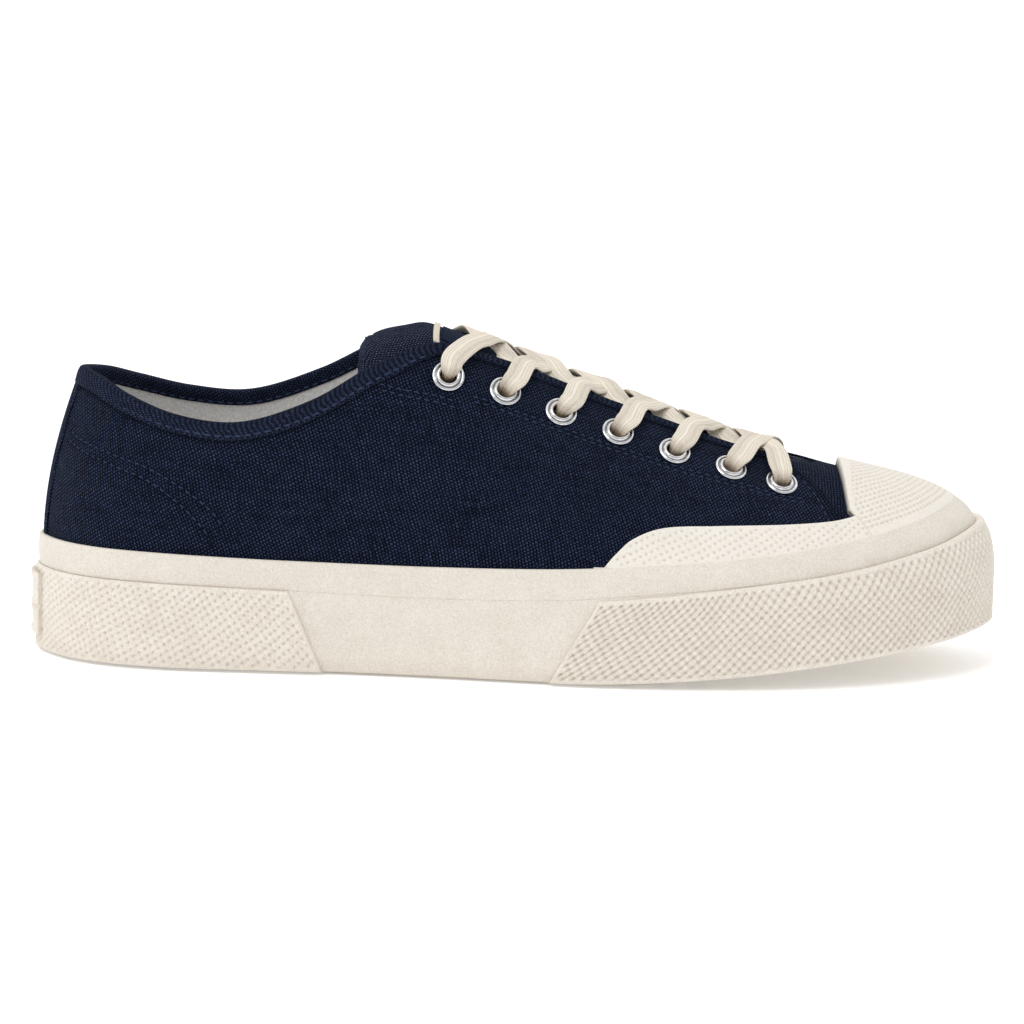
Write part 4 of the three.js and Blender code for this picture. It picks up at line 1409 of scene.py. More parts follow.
@dataclass
class Sole:
    """Outsole, midsole wall, insole, rand and the moulded strips and patch on them."""

    last: Last
    finishes: Finishes
    wall: float = FIT_GAP + RAND_WALL
    strip_foot: float = 2 * FIT_GAP + RAND_WALL
    heel_wall: float = 1.2
    toe_wall: float = 2.3
    patch_wall: float = 1.1
    patch_half: float = 9.6
    patch_heights: tuple[float, float] = (5.4, 24.8)
    patch_rim: float = 1.6
    field_ends: tuple[float, float] = (7.6, 9.8)
    field_depth: float = 0.4
    split_at: float = 8.7
    split_depth: float = 0.7
    bevel: float = 1.4
    tread: float = 5.0
    groove_depth: float = 1.5
    groove_width: float = 2.6
    heel_grooves: tuple[float, float, int] = (-132.0, -78.0, 6)
    toe_grooves: tuple[float, float, int] = (34.0, 124.0, 9)
    shank: tuple[float, float, float, float] = (-62.0, -2.0, 22.0, 1.2)
    insole_rise: float = 3.5
    heel_end: tuple[float, float] = (-57.0, -70.0)
    toe_end: tuple[float, float] = (11.0, 28.0)
    end_height: float = 30.0
    heel_lattice: Lattice = Lattice(-57, 2.02, 18, 2.15, 0.2, 0.14, 0.42, 3.5)
    toe_lattice: Lattice = Lattice(-42, 2.03, 48, 2.2, 0.5, 0.4, 0.25, 2.6)

    def build(self) -> None:
        """Builds every piece of the sole."""
        self.outsole()
        self.midsole()
        self.insole()
        self.rand()
        self.heel_strip()
        self.toe_strip()
        self.heel_patch()

    def tread_depth(self, x: np.ndarray, y: np.ndarray) -> np.ndarray:
        """How far the tread sinks at a place of the underside.

        Args:
            x: Places along the shoe.
            y: Places across it.

        Returns:
            Depths at those places.
        """
        sunk = np.zeros_like(x)
        for start, end, count in (self.heel_grooves, self.toe_grooves):
            for middle in np.linspace(start, end, count):
                edge = self.groove_width / 2
                sunk = np.maximum(
                    sunk, smooth((edge + 0.25 - np.abs(x - middle)) / 0.5) * self.groove_depth
                )
        start, end, half, depth = self.shank
        inside = np.minimum(np.minimum(x - start, end - x), half - np.abs(y))
        return np.maximum(sunk, smooth(inside / 0.8 + 0.5) * depth)

    def outsole(self) -> None:
        """The tread sheet: a station across the shoe every half millimetre, closed all round."""
        last, inset = self.last, TREAD_INSET + FIT_GAP
        u = last.u_steps(0.0015, 0.4985, 0.55, 0.0)
        edges = []
        for rib in (u, 1 - u):
            low = last.line("floor", rib)
            rows = [
                (self.tread, inset),
                (0.8, inset),
                (0.35, inset + 0.15),
                (0.1, inset + 0.4),
                (0.0, inset + 0.8),
            ]
            edges.append([last.side(rib, low + rise, -away) for rise, away in rows])
        share = np.linspace(0, 1, 46)[1:-1]
        first, second = edges[0][-1], edges[1][-1]
        under = mix(first[:, None], second[:, None], share[None, :, None])
        under[..., 2] = last.floor(under[..., 0]) + self.tread_depth(under[..., 0], under[..., 1])
        for edge in (first, second):
            edge[:, 2] += self.tread_depth(edge[:, 0], edge[:, 1])
        top = mix(edges[1][0][:, None], edges[0][0][:, None], np.linspace(0, 1, 5)[1:-1][None, :, None])
        loops = np.concatenate([np.stack(edges[0], 1), under, np.stack(edges[1][::-1], 1), top], 1)
        flat = np.concatenate([loops, loops[:, :1]], 1)[..., :2]
        draft = Draft()
        draft.tube(loops[:, ::-1], uv=flat[:, ::-1])
        settle(draft.make("tread_sheet", self.finishes.tread), "tread_rubber", "outsole")

    def midsole(self) -> None:
        """The moulded wall round the sole, from its lower rim to the line under the rand."""
        last, out = self.last, self.wall
        u = np.linspace(0, 1, 601)[:-1]
        low, feather, strip = (last.line(name, u) for name in ("floor", "feather", "strip"))
        rim = low + RIM_CLEARANCE
        lines = [
            (low + self.tread + FIT_GAP, -14.0),
            (low + self.tread + FIT_GAP, -TREAD_INSET),
            (rim, -TREAD_INSET),
        ]
        lines += [(rim, out - self.bevel)]
        for turn in np.radians([25, 50, 75]):
            lines.append((rim + self.bevel * (1 - math.cos(turn)), out - self.bevel * (1 - math.sin(turn))))
        lines += [(mix(rim + self.bevel, feather, share), out) for share in np.linspace(0, 1, 9)]
        lines += [
            (mix(feather, strip, 0.5), out),
            (strip - 0.2, out),
            (strip - 0.08, out - 0.06),
            (strip, out - 0.2),
        ]
        lines += [(strip, FIT_GAP), (feather, FIT_GAP), (feather - FIT_GAP, -14.0)]
        loops = np.stack([last.side(u, z, distance) for z, distance in lines], 1)
        draft = Draft()
        draft.grid(loops, close=(True, True))
        settle(draft.make("midsole_wall", self.finishes.rand), "sole_rubber", "midsole")

    def insole(self) -> None:
        """The footbed: a cloth-faced sheet, dished a little under the heel and raised at the arch."""
        last, inset = self.last, CANVAS_WALL + 2 * FIT_GAP
        u = last.u_steps(0.0015, 0.4985, 1.2, 0.0)
        edges = []
        for rib in (u, 1 - u):
            base = last.line("feather", rib)
            rows = [
                (0.0, 0.0),
                (self.insole_rise - 0.9, 0.0),
                (self.insole_rise - 0.3, 0.3),
                (self.insole_rise, 0.9),
            ]
            edges.append(
                [
                    last.side(rib, base, -inset - away) + [0, 0, 1] * np.full((len(u), 1), rise) for rise,
                    away in rows
                ]
            )
        share = np.linspace(0, 1, 40)[1:-1]
        face = mix(edges[0][-1][:, None], edges[1][-1][:, None], share[None, :, None])
        heel_dish = bell(face[..., 0] + 112, 26) * 1.0
        ball_dish = bell(face[..., 0] - 55, 34) * 0.7
        face[..., 2] -= (heel_dish + ball_dish) * (1 - np.abs(2 * share - 1) ** 3)[None, :]
        base = mix(edges[1][0][:, None], edges[0][0][:, None], np.linspace(0, 1, 4)[1:-1][None, :, None])
        loops = np.concatenate([np.stack(edges[0], 1), face, np.stack(edges[1][::-1], 1), base], 1)
        flat = np.concatenate([loops, loops[:, :1]], 1)[..., :2]
        draft = Draft()
        draft.tube(loops, uv=flat)
        settle(draft.make("footbed", self.finishes.insole), "insole_cloth", "insole")

    def rand(self) -> None:
        """The smooth band round the foot of the upper, slightly full, with a rounded upper edge."""
        last = self.last
        u = np.linspace(0, 1, 601)[:-1]
        low, high = last.line("strip", u) - 0.02, last.line("rand", u)
        lines = [
            (low, -0.6), (low, self.wall - 0.12), (low + 0.04, self.wall - 0.04), (low + 0.12, self.wall)
        ]
        for share in np.linspace(0, 1, 12)[1:-1]:
            lines.append((mix(low, high - 0.7, share), self.wall + 0.22 * math.sin(math.pi * share)))
        for turn in np.radians([0, 22, 45, 68, 90]):
            lines.append((high - 0.7 + 0.7 * math.sin(turn), self.wall - 0.7 + 0.7 * math.cos(turn)))
        lines += [(high - 0.15, 0.2), (high - 0.8, -0.6)]
        loops = np.stack([last.side(u, z, distance) for z, distance in lines], 1)
        draft = Draft()
        draft.grid(loops, close=(True, True))
        settle(draft.make("smooth_rand", self.finishes.rand), "smooth_rubber", "rand")

    def strip(
        self,
        name: str,
        ends: tuple[float, float],
        forward: bool,
        wall: Callable[[np.ndarray], np.ndarray],
        lattice: Lattice,
        plain: float,
    ) -> bpy.types.Object:
        """A knobbed strip round one end of the sole, with leaning ends.

        Args:
            name: The piece's name.
            ends: x of the leaning ends at the floor and at end_height.
            forward: Whether the strip goes round the toe.
            wall: Its thickness, by u.
            lattice: The knobs.
            plain: Width of the plain margin inside its borders.

        Returns:
            The piece.
        """
        last, radius = self.last, 0.75
        sides = (-1, 1) if forward else (1, -1)
        turn = 0.0 if forward else 1.0

        def at(x: np.ndarray | float, end: int) -> np.ndarray:
            """The rib over a leaning end at one place.

            Args:
                x: The place along the shoe.
                end: Which end of the strip, 0 or 1.

            Returns:
                Ribs; round the heel, those of end 0 are a full turn lower.
            """
            u = last.u_at_foot(x, sides[end])
            return u - (turn if end == 0 else 0.0)

        middle_x = mix(*ends, 0.4)
        first, second = float(at(middle_x, 0)), float(at(middle_x, 1))
        fine = np.linspace(first, second, 2000)
        gone = np.concatenate(
            [
                [0],
                np.cumsum(
                    np.linalg.norm(np.diff(last.side(fine, np.full(2000, 15.0), 3.0), axis=0), axis=-1)
                )
            ]
        )
        places, rise_u = border_lines(gone[-1], 0.34, radius)
        u = np.interp(places, gone, fine)[:, None]
        low = last.line("floor", u) + RIM_CLEARANCE + 0.2
        high = last.line("strip", u) - 0.05
        mid_height = float(np.mean(high - low))
        heights, rise_v = border_lines(mid_height, 0.34, radius)
        share = heights / mid_height
        stretched = low + heights + (high - low - mid_height) * smooth((share - 0.06) / 0.88)
        z = np.where(
            heights < radius,
            low + heights,
            np.where(heights > mid_height - radius, high - (mid_height - heights), stretched),
        )
        near = [np.clip(1 - places / 60, 0, 1), np.clip(1 - (gone[-1] - places) / 60, 0, 1)]
        lean = np.linspace(0, 40, 81)
        for end in (0, 1):
            ribs = at(mix(*ends, lean / self.end_height), end)
            shift = np.interp(z.ravel(), lean, ribs).reshape(z.shape) - at(middle_x, end)
            u = u + shift * smooth(near[end])[:, None]
        thick = wall(u)
        height = panel_height(rise_u, rise_v, self.strip_foot, 0.0, radius)
        face = self.strip_foot + thick - radius + (height + radius) - 0.35 * smooth((z - high + 7) / 7) ** 2
        height = np.where(np.minimum(rise_u[:, None], rise_v[None, :]) < 0, self.strip_foot - 0.4, face)
        inside = np.minimum(
            np.minimum(places, gone[-1] - places)[:, None], np.minimum(
                heights, mid_height - heights
            )[None, :]
        )
        s = np.broadcast_to((places - gone[-1] / 2)[:, None], z.shape)
        sunk, relief = lattice.sunk(s, z)
        fade = smooth((inside - plain) / 0.7)
        points = last.side(u, z, height - sunk * fade)
        draft = Draft()
        draft.panel(points, uv=np.stack([s, z], -1), relief=mix(1.0, relief, fade))
        return draft.make(name, self.finishes.strip)

    def heel_strip(self) -> None:
        """The low-cut patterned strip round the heel."""
        piece = self.strip(
            "heel_band",
            self.heel_end,
            False,
            lambda u: np.full(u.shape, self.heel_wall),
            self.heel_lattice,
            0.7,
        )
        settle(piece, "strip_rubber", "heel_strip")

    def toe_strip(self) -> None:
        """The knobbed strip round the toe, thicker towards the front."""

        def wall(u: np.ndarray) -> np.ndarray:
            """How thick the strip is at each rib.

            Args:
                u: Ribs, as shares of the way round.

            Returns:
                Thicknesses.
            """
            ahead = self.last.foot(u)[..., 0] - self.toe_end[1]
            return mix(self.heel_wall, self.toe_wall, smooth(ahead / 90))

        piece = self.strip("toe_band", self.toe_end, True, wall, self.toe_lattice, 0.9)
        settle(piece, "strip_rubber", "toe_strip")

    def heel_patch(self) -> None:
        """The blank moulded patch at the back, with two sunk fields."""
        last, half, low, high = self.last, self.patch_half, *self.patch_heights
        rim_width = self.patch_rim
        base = 3 * FIT_GAP + RAND_WALL + self.heel_wall
        reach = float(solve(lambda s: -last.foot(s)[..., 1], np.array(half), 0.0, 0.1))
        across, rise_u = border_lines(2 * half, 0.5, 0.5)
        up, rise_v = border_lines(high - low, 0.4, 0.5)
        u = mix(-reach, reach, across / (2 * half))[:, None]
        height = panel_height(rise_u, rise_v, base - 0.6, base + self.patch_wall, 0.5)
        inside = np.minimum(across, 2 * half - across)[:, None]
        field_sunk = 0.0
        for start, end in ((rim_width, self.field_ends[0]), (self.field_ends[1], high - low - rim_width)):
            edge = np.minimum(np.minimum(up - start, end - up)[None, :], inside - rim_width)
            field_sunk = field_sunk + self.field_depth * smooth(edge / 0.5)
        split = self.split_depth * bell(up - self.split_at, 0.45)[None, :]
        rim = np.minimum(np.minimum(up, up[-1] - up)[None, :], inside)
        points = last.side(u, (low + up)[None, :], height - field_sunk - split)
        draft = Draft()
        # The relief is low in the split and round the border, where the rubber paints shade.
        draft.panel(points, relief=np.minimum(1 - 0.7 * split, smooth((rim + 0.2) / 0.7)))
        settle(draft.make("heel_badge_blank", self.finishes.strip), "patch_rubber", "heel_patch")


# ---- Toe cap and guards --------------------------------------------------------------------------

# Upper edge of the toe guards.
GUARD_TOP = Table(
    ("x", "z"),
    ((27, 36.2), (30, 39.6), (35, 44), (44, 47.2), (60, 47.8), (84, 47.9), (97, 48.6), (106, 50.4)),
)


@dataclass
class ToeRubber:
    """The toe cap and the two guards behind it."""

    last: Last
    finishes: Finishes
    crest_x: float = 99.5
    side_x: float = 103.0
    half_width: float = 36.0
    cap_wall: float = 1.7
    guard_wall: float = 1.3
    guard_start: float = 29.0
    foot: float = -0.8
    cap_pits: Pits = Pits(1.8, 1.7, 0.36, 0.5, 0.06)
    guard_lattice: Lattice = Lattice(-69, 1.95, 18, 2.1, 0.08, 0.08, 0.5)

    def build(self) -> None:
        """Builds the cap and both guards."""
        self.cap()
        for side, name in ((-1, "outer"), (1, "inner")):
            self.guard(side, name)

    def above_rand(self, u: np.ndarray) -> np.ndarray:
        """Where a rib leaves the rand."""
        return self.last.t_at_height(u, self.last.line("rand", u) - 0.5)

    def cap_edge(self, u: np.ndarray) -> np.ndarray:
        """Where a rib crosses the cap's rear edge.

        Args:
            u: Ribs, as shares of the way round.

        Returns:
            The crossing's place up each rib.
        """

        def behind(t: np.ndarray) -> np.ndarray:
            """How far the cap's edge lies ahead of places up each rib.

            Args:
                t: Places up the ribs.

            Returns:
                Distances along the shoe.
            """
            p = self.last.skin(u, t)
            share = np.minimum(1, np.abs(p[..., 1]) / self.half_width)
            return mix(self.crest_x, self.side_x, share**2) - p[..., 0]

        return solve(behind, np.zeros(np.shape(u)), 0.1, 0.99)

    def cap_rib(self, side: int) -> float:
        """The rib that parts the cap from a guard.

        Args:
            side: -1 for the outer side, 1 for the inner side.

        Returns:
            The rib.
        """
        corner = GUARD_TOP.along("z", self.side_x)

        def corner_x(share: np.ndarray) -> np.ndarray:
            """Where the guard's top line meets ribs.

            Args:
                share: Ribs, counted from the heel on either side.

            Returns:
                Places along the shoe.
            """
            u = share if side < 0 else 1 - share
            return self.last.skin(u, self.last.t_at_height(u, corner))[..., 0]

        share = float(solve(corner_x, np.array(self.side_x), 0.3, 0.48))
        return share if side < 0 else 1 - share

    def cap(self) -> None:
        """The moulded cap, with rows of pits that follow the toe's outline."""
        last, radius = self.last, 0.8
        first, second = self.cap_rib(-1), self.cap_rib(1)
        fine = np.linspace(first, second, 1500)
        gone = np.concatenate(
            [[0], np.cumsum(np.linalg.norm(np.diff(last.skin(fine, 0.45), axis=0), axis=-1))]
        )
        places, rise_u = border_lines(gone[-1], 0.42, 0.25)
        u = np.interp(places, gone, fine)
        t_low, t_high = self.above_rand(u), self.cap_edge(u)
        length = 48.0
        up, rise_v = border_lines(length, 0.42, radius)
        t = mix(t_low[:, None], t_high[:, None], up[None, :] / length)
        height = panel_height(np.maximum(rise_u, 0), rise_v, self.foot, FIT_GAP + self.cap_wall, radius)
        to_end = np.minimum(places, gone[-1] - places)[:, None]
        height = height - np.where(height > 0, 0.35 * (1 - smooth(to_end / 12)), 0)
        base = last.skin(u[:, None], t)
        uv = arc_uv(base, centre=0.5)
        total = uv[:, -1:, 1]
        from_edge = np.minimum(uv[..., 1] - 0.6, (total - uv[..., 1]) * 0.6)
        sunk, relief = self.cap_pits.sunk(*self.rows(base))
        fade = smooth((from_edge - 1.2) / 0.8)
        points = base + last.normal(u[:, None], t) * (height - sunk * fade)[..., None]
        draft = Draft()
        draft.panel(points, uv=uv, relief=mix(1.0, relief, fade), foot=last.off(u[:, None], t, self.foot))
        settle(draft.make("toe_cap_moulded", self.finishes.cap), "cap_rubber", "toe_cap")

    def rows(self, base: np.ndarray) -> tuple[np.ndarray, np.ndarray]:
        """Lays rows at even distances inside the cap's outline.

        Args:
            base: The cap's grid, with its outline as the first column.

        Returns:
            The way along the row, from its middle, and the distance from the outline, for each point.
        """
        outline = base[:, 0]
        away = np.full(base.shape[:2], 1e9)
        nearest = np.zeros(base.shape[:2])
        for k, point in enumerate(outline):
            gap = np.linalg.norm(base - point, axis=-1)
            closer = gap < away
            away[closer], nearest[closer] = gap[closer], k
        s = np.zeros(base.shape[:2])
        row = np.round(away / self.cap_pits.row)
        bins = np.linspace(0, len(outline), 121)
        for index in range(int(row.max()) + 1):
            mine = row == index
            if mine.sum() < 8:
                continue
            count, _ = np.histogram(nearest[mine], bins)
            kept = count > 0
            middle = np.stack(
                [np.histogram(nearest[mine], bins, weights=base[mine][:, a])[0][kept] for a in range(3)], -1
            )
            middle = middle / count[kept][:, None]
            at = ((bins[1:] + bins[:-1]) / 2)[kept]
            gone = np.concatenate([[0], np.cumsum(np.linalg.norm(np.diff(middle, axis=0), axis=-1))])
            gone = gone - np.interp(len(outline) / 2, at, gone)
            s[mine] = np.interp(nearest[mine], at, gone)
        return s, away

    def guard(self, side: int, name: str) -> None:
        """The patterned guard along one side, rising from the rand at its rear end.

        Args:
            side: -1 for the outer side, 1 for the inner side.
            name: The piece's name.
        """
        last, radius = self.last, 0.5
        rear, front = float(last.u_at_foot(self.guard_start - 3.2, side)), self.cap_rib(side)
        first, second = (rear, front) if side < 0 else (front, rear)
        fine = np.linspace(first, second, 1200)
        gone = np.concatenate(
            [[0], np.cumsum(np.linalg.norm(np.diff(last.skin(fine, 0.25), axis=0), axis=-1))]
        )
        places, rise_u = border_lines(gone[-1], 0.42, 0.25)
        u = np.interp(places, gone, fine)

        def above(t: np.ndarray) -> np.ndarray:
            """How far places up each rib lie above the guard's top line.

            Args:
                t: Places up the ribs.

            Returns:
                Heights.
            """
            p = last.skin(u, t)
            return p[..., 2] - GUARD_TOP.along("z", p[..., 0])

        t_low = self.above_rand(u)
        t_high = np.maximum(solve(above, np.zeros(u.shape), 0.0, 0.7), t_low + 0.01)
        length = 12.5
        up, rise_v = border_lines(length, 0.42, radius)
        t = mix(t_low[:, None], t_high[:, None], up[None, :] / length)
        height = panel_height(np.maximum(rise_u, 0), rise_v, self.foot, FIT_GAP + self.guard_wall, radius)
        base = last.skin(u[:, None], t)
        uv = arc_uv(base)
        total = uv[:, -1:, 1]
        height = np.minimum(height, self.foot + 0.5 + total * 0.9)
        sunk, relief = self.guard_lattice.sunk(uv[..., 0], uv[..., 1])
        fade = smooth((np.minimum(uv[..., 1], total - uv[..., 1]) - 0.8) / 0.7)
        points = base + last.normal(u[:, None], t) * (height - sunk * fade)[..., None]
        draft = Draft()
        draft.panel(points, uv=uv, relief=mix(1.0, relief, fade))
        settle(
            draft.make(f"toe_guard_moulded_{name}", self.finishes.cap), "guard_rubber", f"toe_guard_{name}"
        )


# ---- Eyelets -------------------------------------------------------------------------------------

# One row of eyelets. setback is from the eyelet's centre up to the throat's edge.
EYELETS = Table(
    ("x", "setback"),
    ((-21.2, 11.6), (-3.9, 14), (13.2, 15), (30.6, 14.6), (48, 15.2), (65.3, 15), (80.9, 17)),
)


@dataclass
class Seat:
    """Where an eyelet stands, and its ways out, to the throat's edge and to the toe."""

    u: float
    t: float
    centre: np.ndarray
    out: np.ndarray
    edge: np.ndarray
    ahead: np.ndarray


@dataclass
class Eyelets:
    """Fourteen turned rings, seven on each facing."""

    last: Last
    finishes: Finishes
    bore: float = 2.45
    hole: float = 3.3
    foot: float = -2.6

    def __post_init__(self) -> None:
        """Finds the seats of both rows."""
        self.seats = {
            side: [self.seat(x, setback, side) for x, setback in EYELETS.rows] for side in (-1, 1)
        }

    def seat(self, x: float, setback: float, side: int) -> Seat:
        """Finds one eyelet's place.

        Args:
            x: Its x.
            setback: Its distance below the throat's edge.
            side: -1 for the outer facing, 1 for the inner one.

        Returns:
            The seat.
        """
        last = self.last
        shares = np.linspace(0.22, 0.46, 240)
        ribs = shares if side < 0 else 1 - shares
        reached = last.skin(ribs, last.t_below_top(ribs, setback))[..., 0]
        u = float(np.interp(x, reached, ribs))
        t = float(last.t_below_top(u, setback)[0])
        centre, out = last.skin(u, t), last.normal(u, t)
        beside = u + 0.004 * -side
        ahead = unit(last.skin(beside, float(last.t_below_top(beside, setback)[0])) - centre)
        edge = unit(np.cross(out, ahead))
        return Seat(u, t, centre, out, edge if edge[2] > 0 else -edge, ahead)

    def build(self) -> None:
        """Turns the rings of both rows."""
        # The profile's third column is the relief; its low values get painted shade.
        profile = np.array(
            [
                (self.bore, self.foot, 0.1), (
                    2.9, self.foot, 0.1
                ), (2.95, 0.1, 0.1), (4.86, 0.12, 0.2), (5.0, 0.26, 0.45),
                (4.99, 0.5, 0.8), (4.86, 0.72, 1), (4.6, 0.86, 1), (4.3, 0.84, 1), (4.1, 0.7, 0.75), (
                    3.95, 0.55, 0.25
                ),
                (3.82, 0.55, 0.2), (3.72, 0.75, 0.6), (
                    3.58, 1.05, 1
                ), (3.3, 1.28, 1), (2.98, 1.3, 1), (2.7, 1.12, 1),
                (2.52, 0.8, 0.7), (self.bore, 0.3, 0.3), (self.bore, -1.2, 0.1),
            ]
        )  # fmt: skip
        angle = np.linspace(0, 2 * math.pi, 57)[:-1]
        for side, name in ((-1, "outer"), (1, "inner")):
            draft = Draft()
            for seat in self.seats[side]:
                flat = np.cos(angle)[:, None] * seat.edge + np.sin(angle)[:, None] * np.cross(
                    seat.out, seat.edge
                )
                ring = seat.centre + flat[:, None] * profile[None, :, :1] + seat.out * profile[None, :, 1:2]
                draft.grid(ring, close=(True, True), relief=np.broadcast_to(profile[:, 2], ring.shape[:2]))
            nodes = [f"eyelet_{name}_{row + 1}" for row in range(len(EYELETS.rows))]
            settle(draft.make(f"eyelets_{name}", self.finishes.nickel), "eyelet_metal", *nodes)

    def cut(self, *pieces: bpy.types.Object) -> None:
        """Cuts the eyelets' holes through cloth pieces.

        Args:
            pieces: The pieces to cut.
        """
        draft = Draft()
        angle = np.linspace(0, 2 * math.pi, 25)[:-1]
        for seat in (s for row in self.seats.values() for s in row):
            flat = np.cos(angle)[:, None] * seat.edge + np.sin(angle)[:, None] * np.cross(
                seat.out, seat.edge
            )
            loops = [seat.centre + flat * self.hole + seat.out * height for height in (-6.0, 4.0)]
            draft.tube(np.stack(loops))
        punch = draft.make("punch")
        for piece in pieces:
            cut = piece.modifiers.new("holes", "BOOLEAN")
            cut.operation, cut.object, cut.solver = "DIFFERENCE", punch, "EXACT"
            graph = bpy.context.evaluated_depsgraph_get()
            mesh = bpy.data.meshes.new_from_object(piece.evaluated_get(graph))
            piece.modifiers.clear()
            piece.data = mesh
            self.clear_plugs(piece)
            mesh.polygons.foreach_set("use_smooth", np.ones(len(mesh.polygons), bool))
        bpy.data.objects.remove(punch)

    def clear_plugs(self, piece: bpy.types.Object) -> None:
        """Deletes faces of a piece that still stand across or outside an eyelet's hole.

        Args:
            piece: The piece that the holes were cut in.
        """
        mesh = bmesh.new()
        mesh.from_mesh(piece.data)
        centres = np.array([face.calc_center_median() for face in mesh.faces]) / MM
        plugs = np.zeros(len(centres), bool)
        for seat in (s for row in self.seats.values() for s in row):
            rise = (centres - seat.centre) @ seat.out
            away = np.linalg.norm(centres - seat.centre - rise[:, None] * seat.out, axis=-1)
            plugs |= ((away < self.hole * 0.98) & (np.abs(rise) < 6.5)) | (
                (away < self.hole * 1.01) & (rise > 1.2) & (rise < 6.5)
            )
        mesh.faces.ensure_lookup_table()
        bmesh.ops.delete(mesh, geom=[mesh.faces[int(k)] for k in np.flatnonzero(plugs)], context="FACES")
        LOG.info("%s: %d plug faces cleared", piece.name, int(plugs.sum()))
        mesh.to_mesh(piece.data)
        mesh.free()


# ---- Upper ---------------------------------------------------------------------------------------

# Soft troughs (depth below 0) and ridges of the canvas. x and z are the middle of each fold on that side of
# the shoe, angle its lean from level, length and width its size, depth how far it sinks or stands.
FOLDS = Table(
    ("side", "at_x", "at_z", "angle", "length", "width", "depth"),
    (
        (-1, -118, 58, -24, 34, 7, -0.45),
        (-1, -96, 50, -38, 22, 5, 0.35),
        (-1, -60, 62, 8, 36, 8, -0.4),
        (-1, -30, 70, 28, 30, 6, 0.35),
        (-1, 4, 56, -8, 44, 8, -0.4),
        (-1, 40, 54, -20, 30, 5, 0.35),
        (-1, 62, 52, -34, 24, 4.5, -0.5),
        (-1, 74, 55, -52, 20, 4, 0.35),
        (1, -112, 56, -20, 34, 7, -0.5),
        (1, -64, 60, 10, 38, 8, -0.45),
        (1, -22, 62, 24, 36, 7, 0.4),
        (1, 14, 54, -6, 40, 8, -0.45),
        (1, 58, 54, -30, 26, 5, -0.5),
        (1, 72, 55, -50, 20, 4, 0.35),
    ),
)
# The quarter's stitched front edge, from the throat down to the guard: place round the shoe in ribs, and t.
FRONT_EDGE = (
    (11.62, 0.36), (11.62, 0.5), (11.69, 0.577), (11.77, 0.66), (11.84, 0.78), (11.85, 0.86), (11.9, 1.0)
)
# Stitched lines on the outer quarter, mirrored on the inner one: places round the shoe in ribs, and t.
COUNTER_SEAMS = (
    (
        (0.62, 0.685),
        (0.94, 0.668),
        (2.1, 0.668),
        (2.64, 0.655),
        (3.04, 0.605),
        (3.42, 0.51),
        (3.64, 0.413),
        (3.75, 0.3),
    ),
    (
        (0.62, 0.64),
        (1.06, 0.622),
        (2.08, 0.61),
        (2.66, 0.585),
        (3.06, 0.51),
        (3.32, 0.42),
        (3.52, 0.313),
        (3.58, 0.25),
    ),
)
STAY_REAR = ((5.9, 0.925), (6.24, 0.85), (6.6, 0.787), (6.85, 0.745))


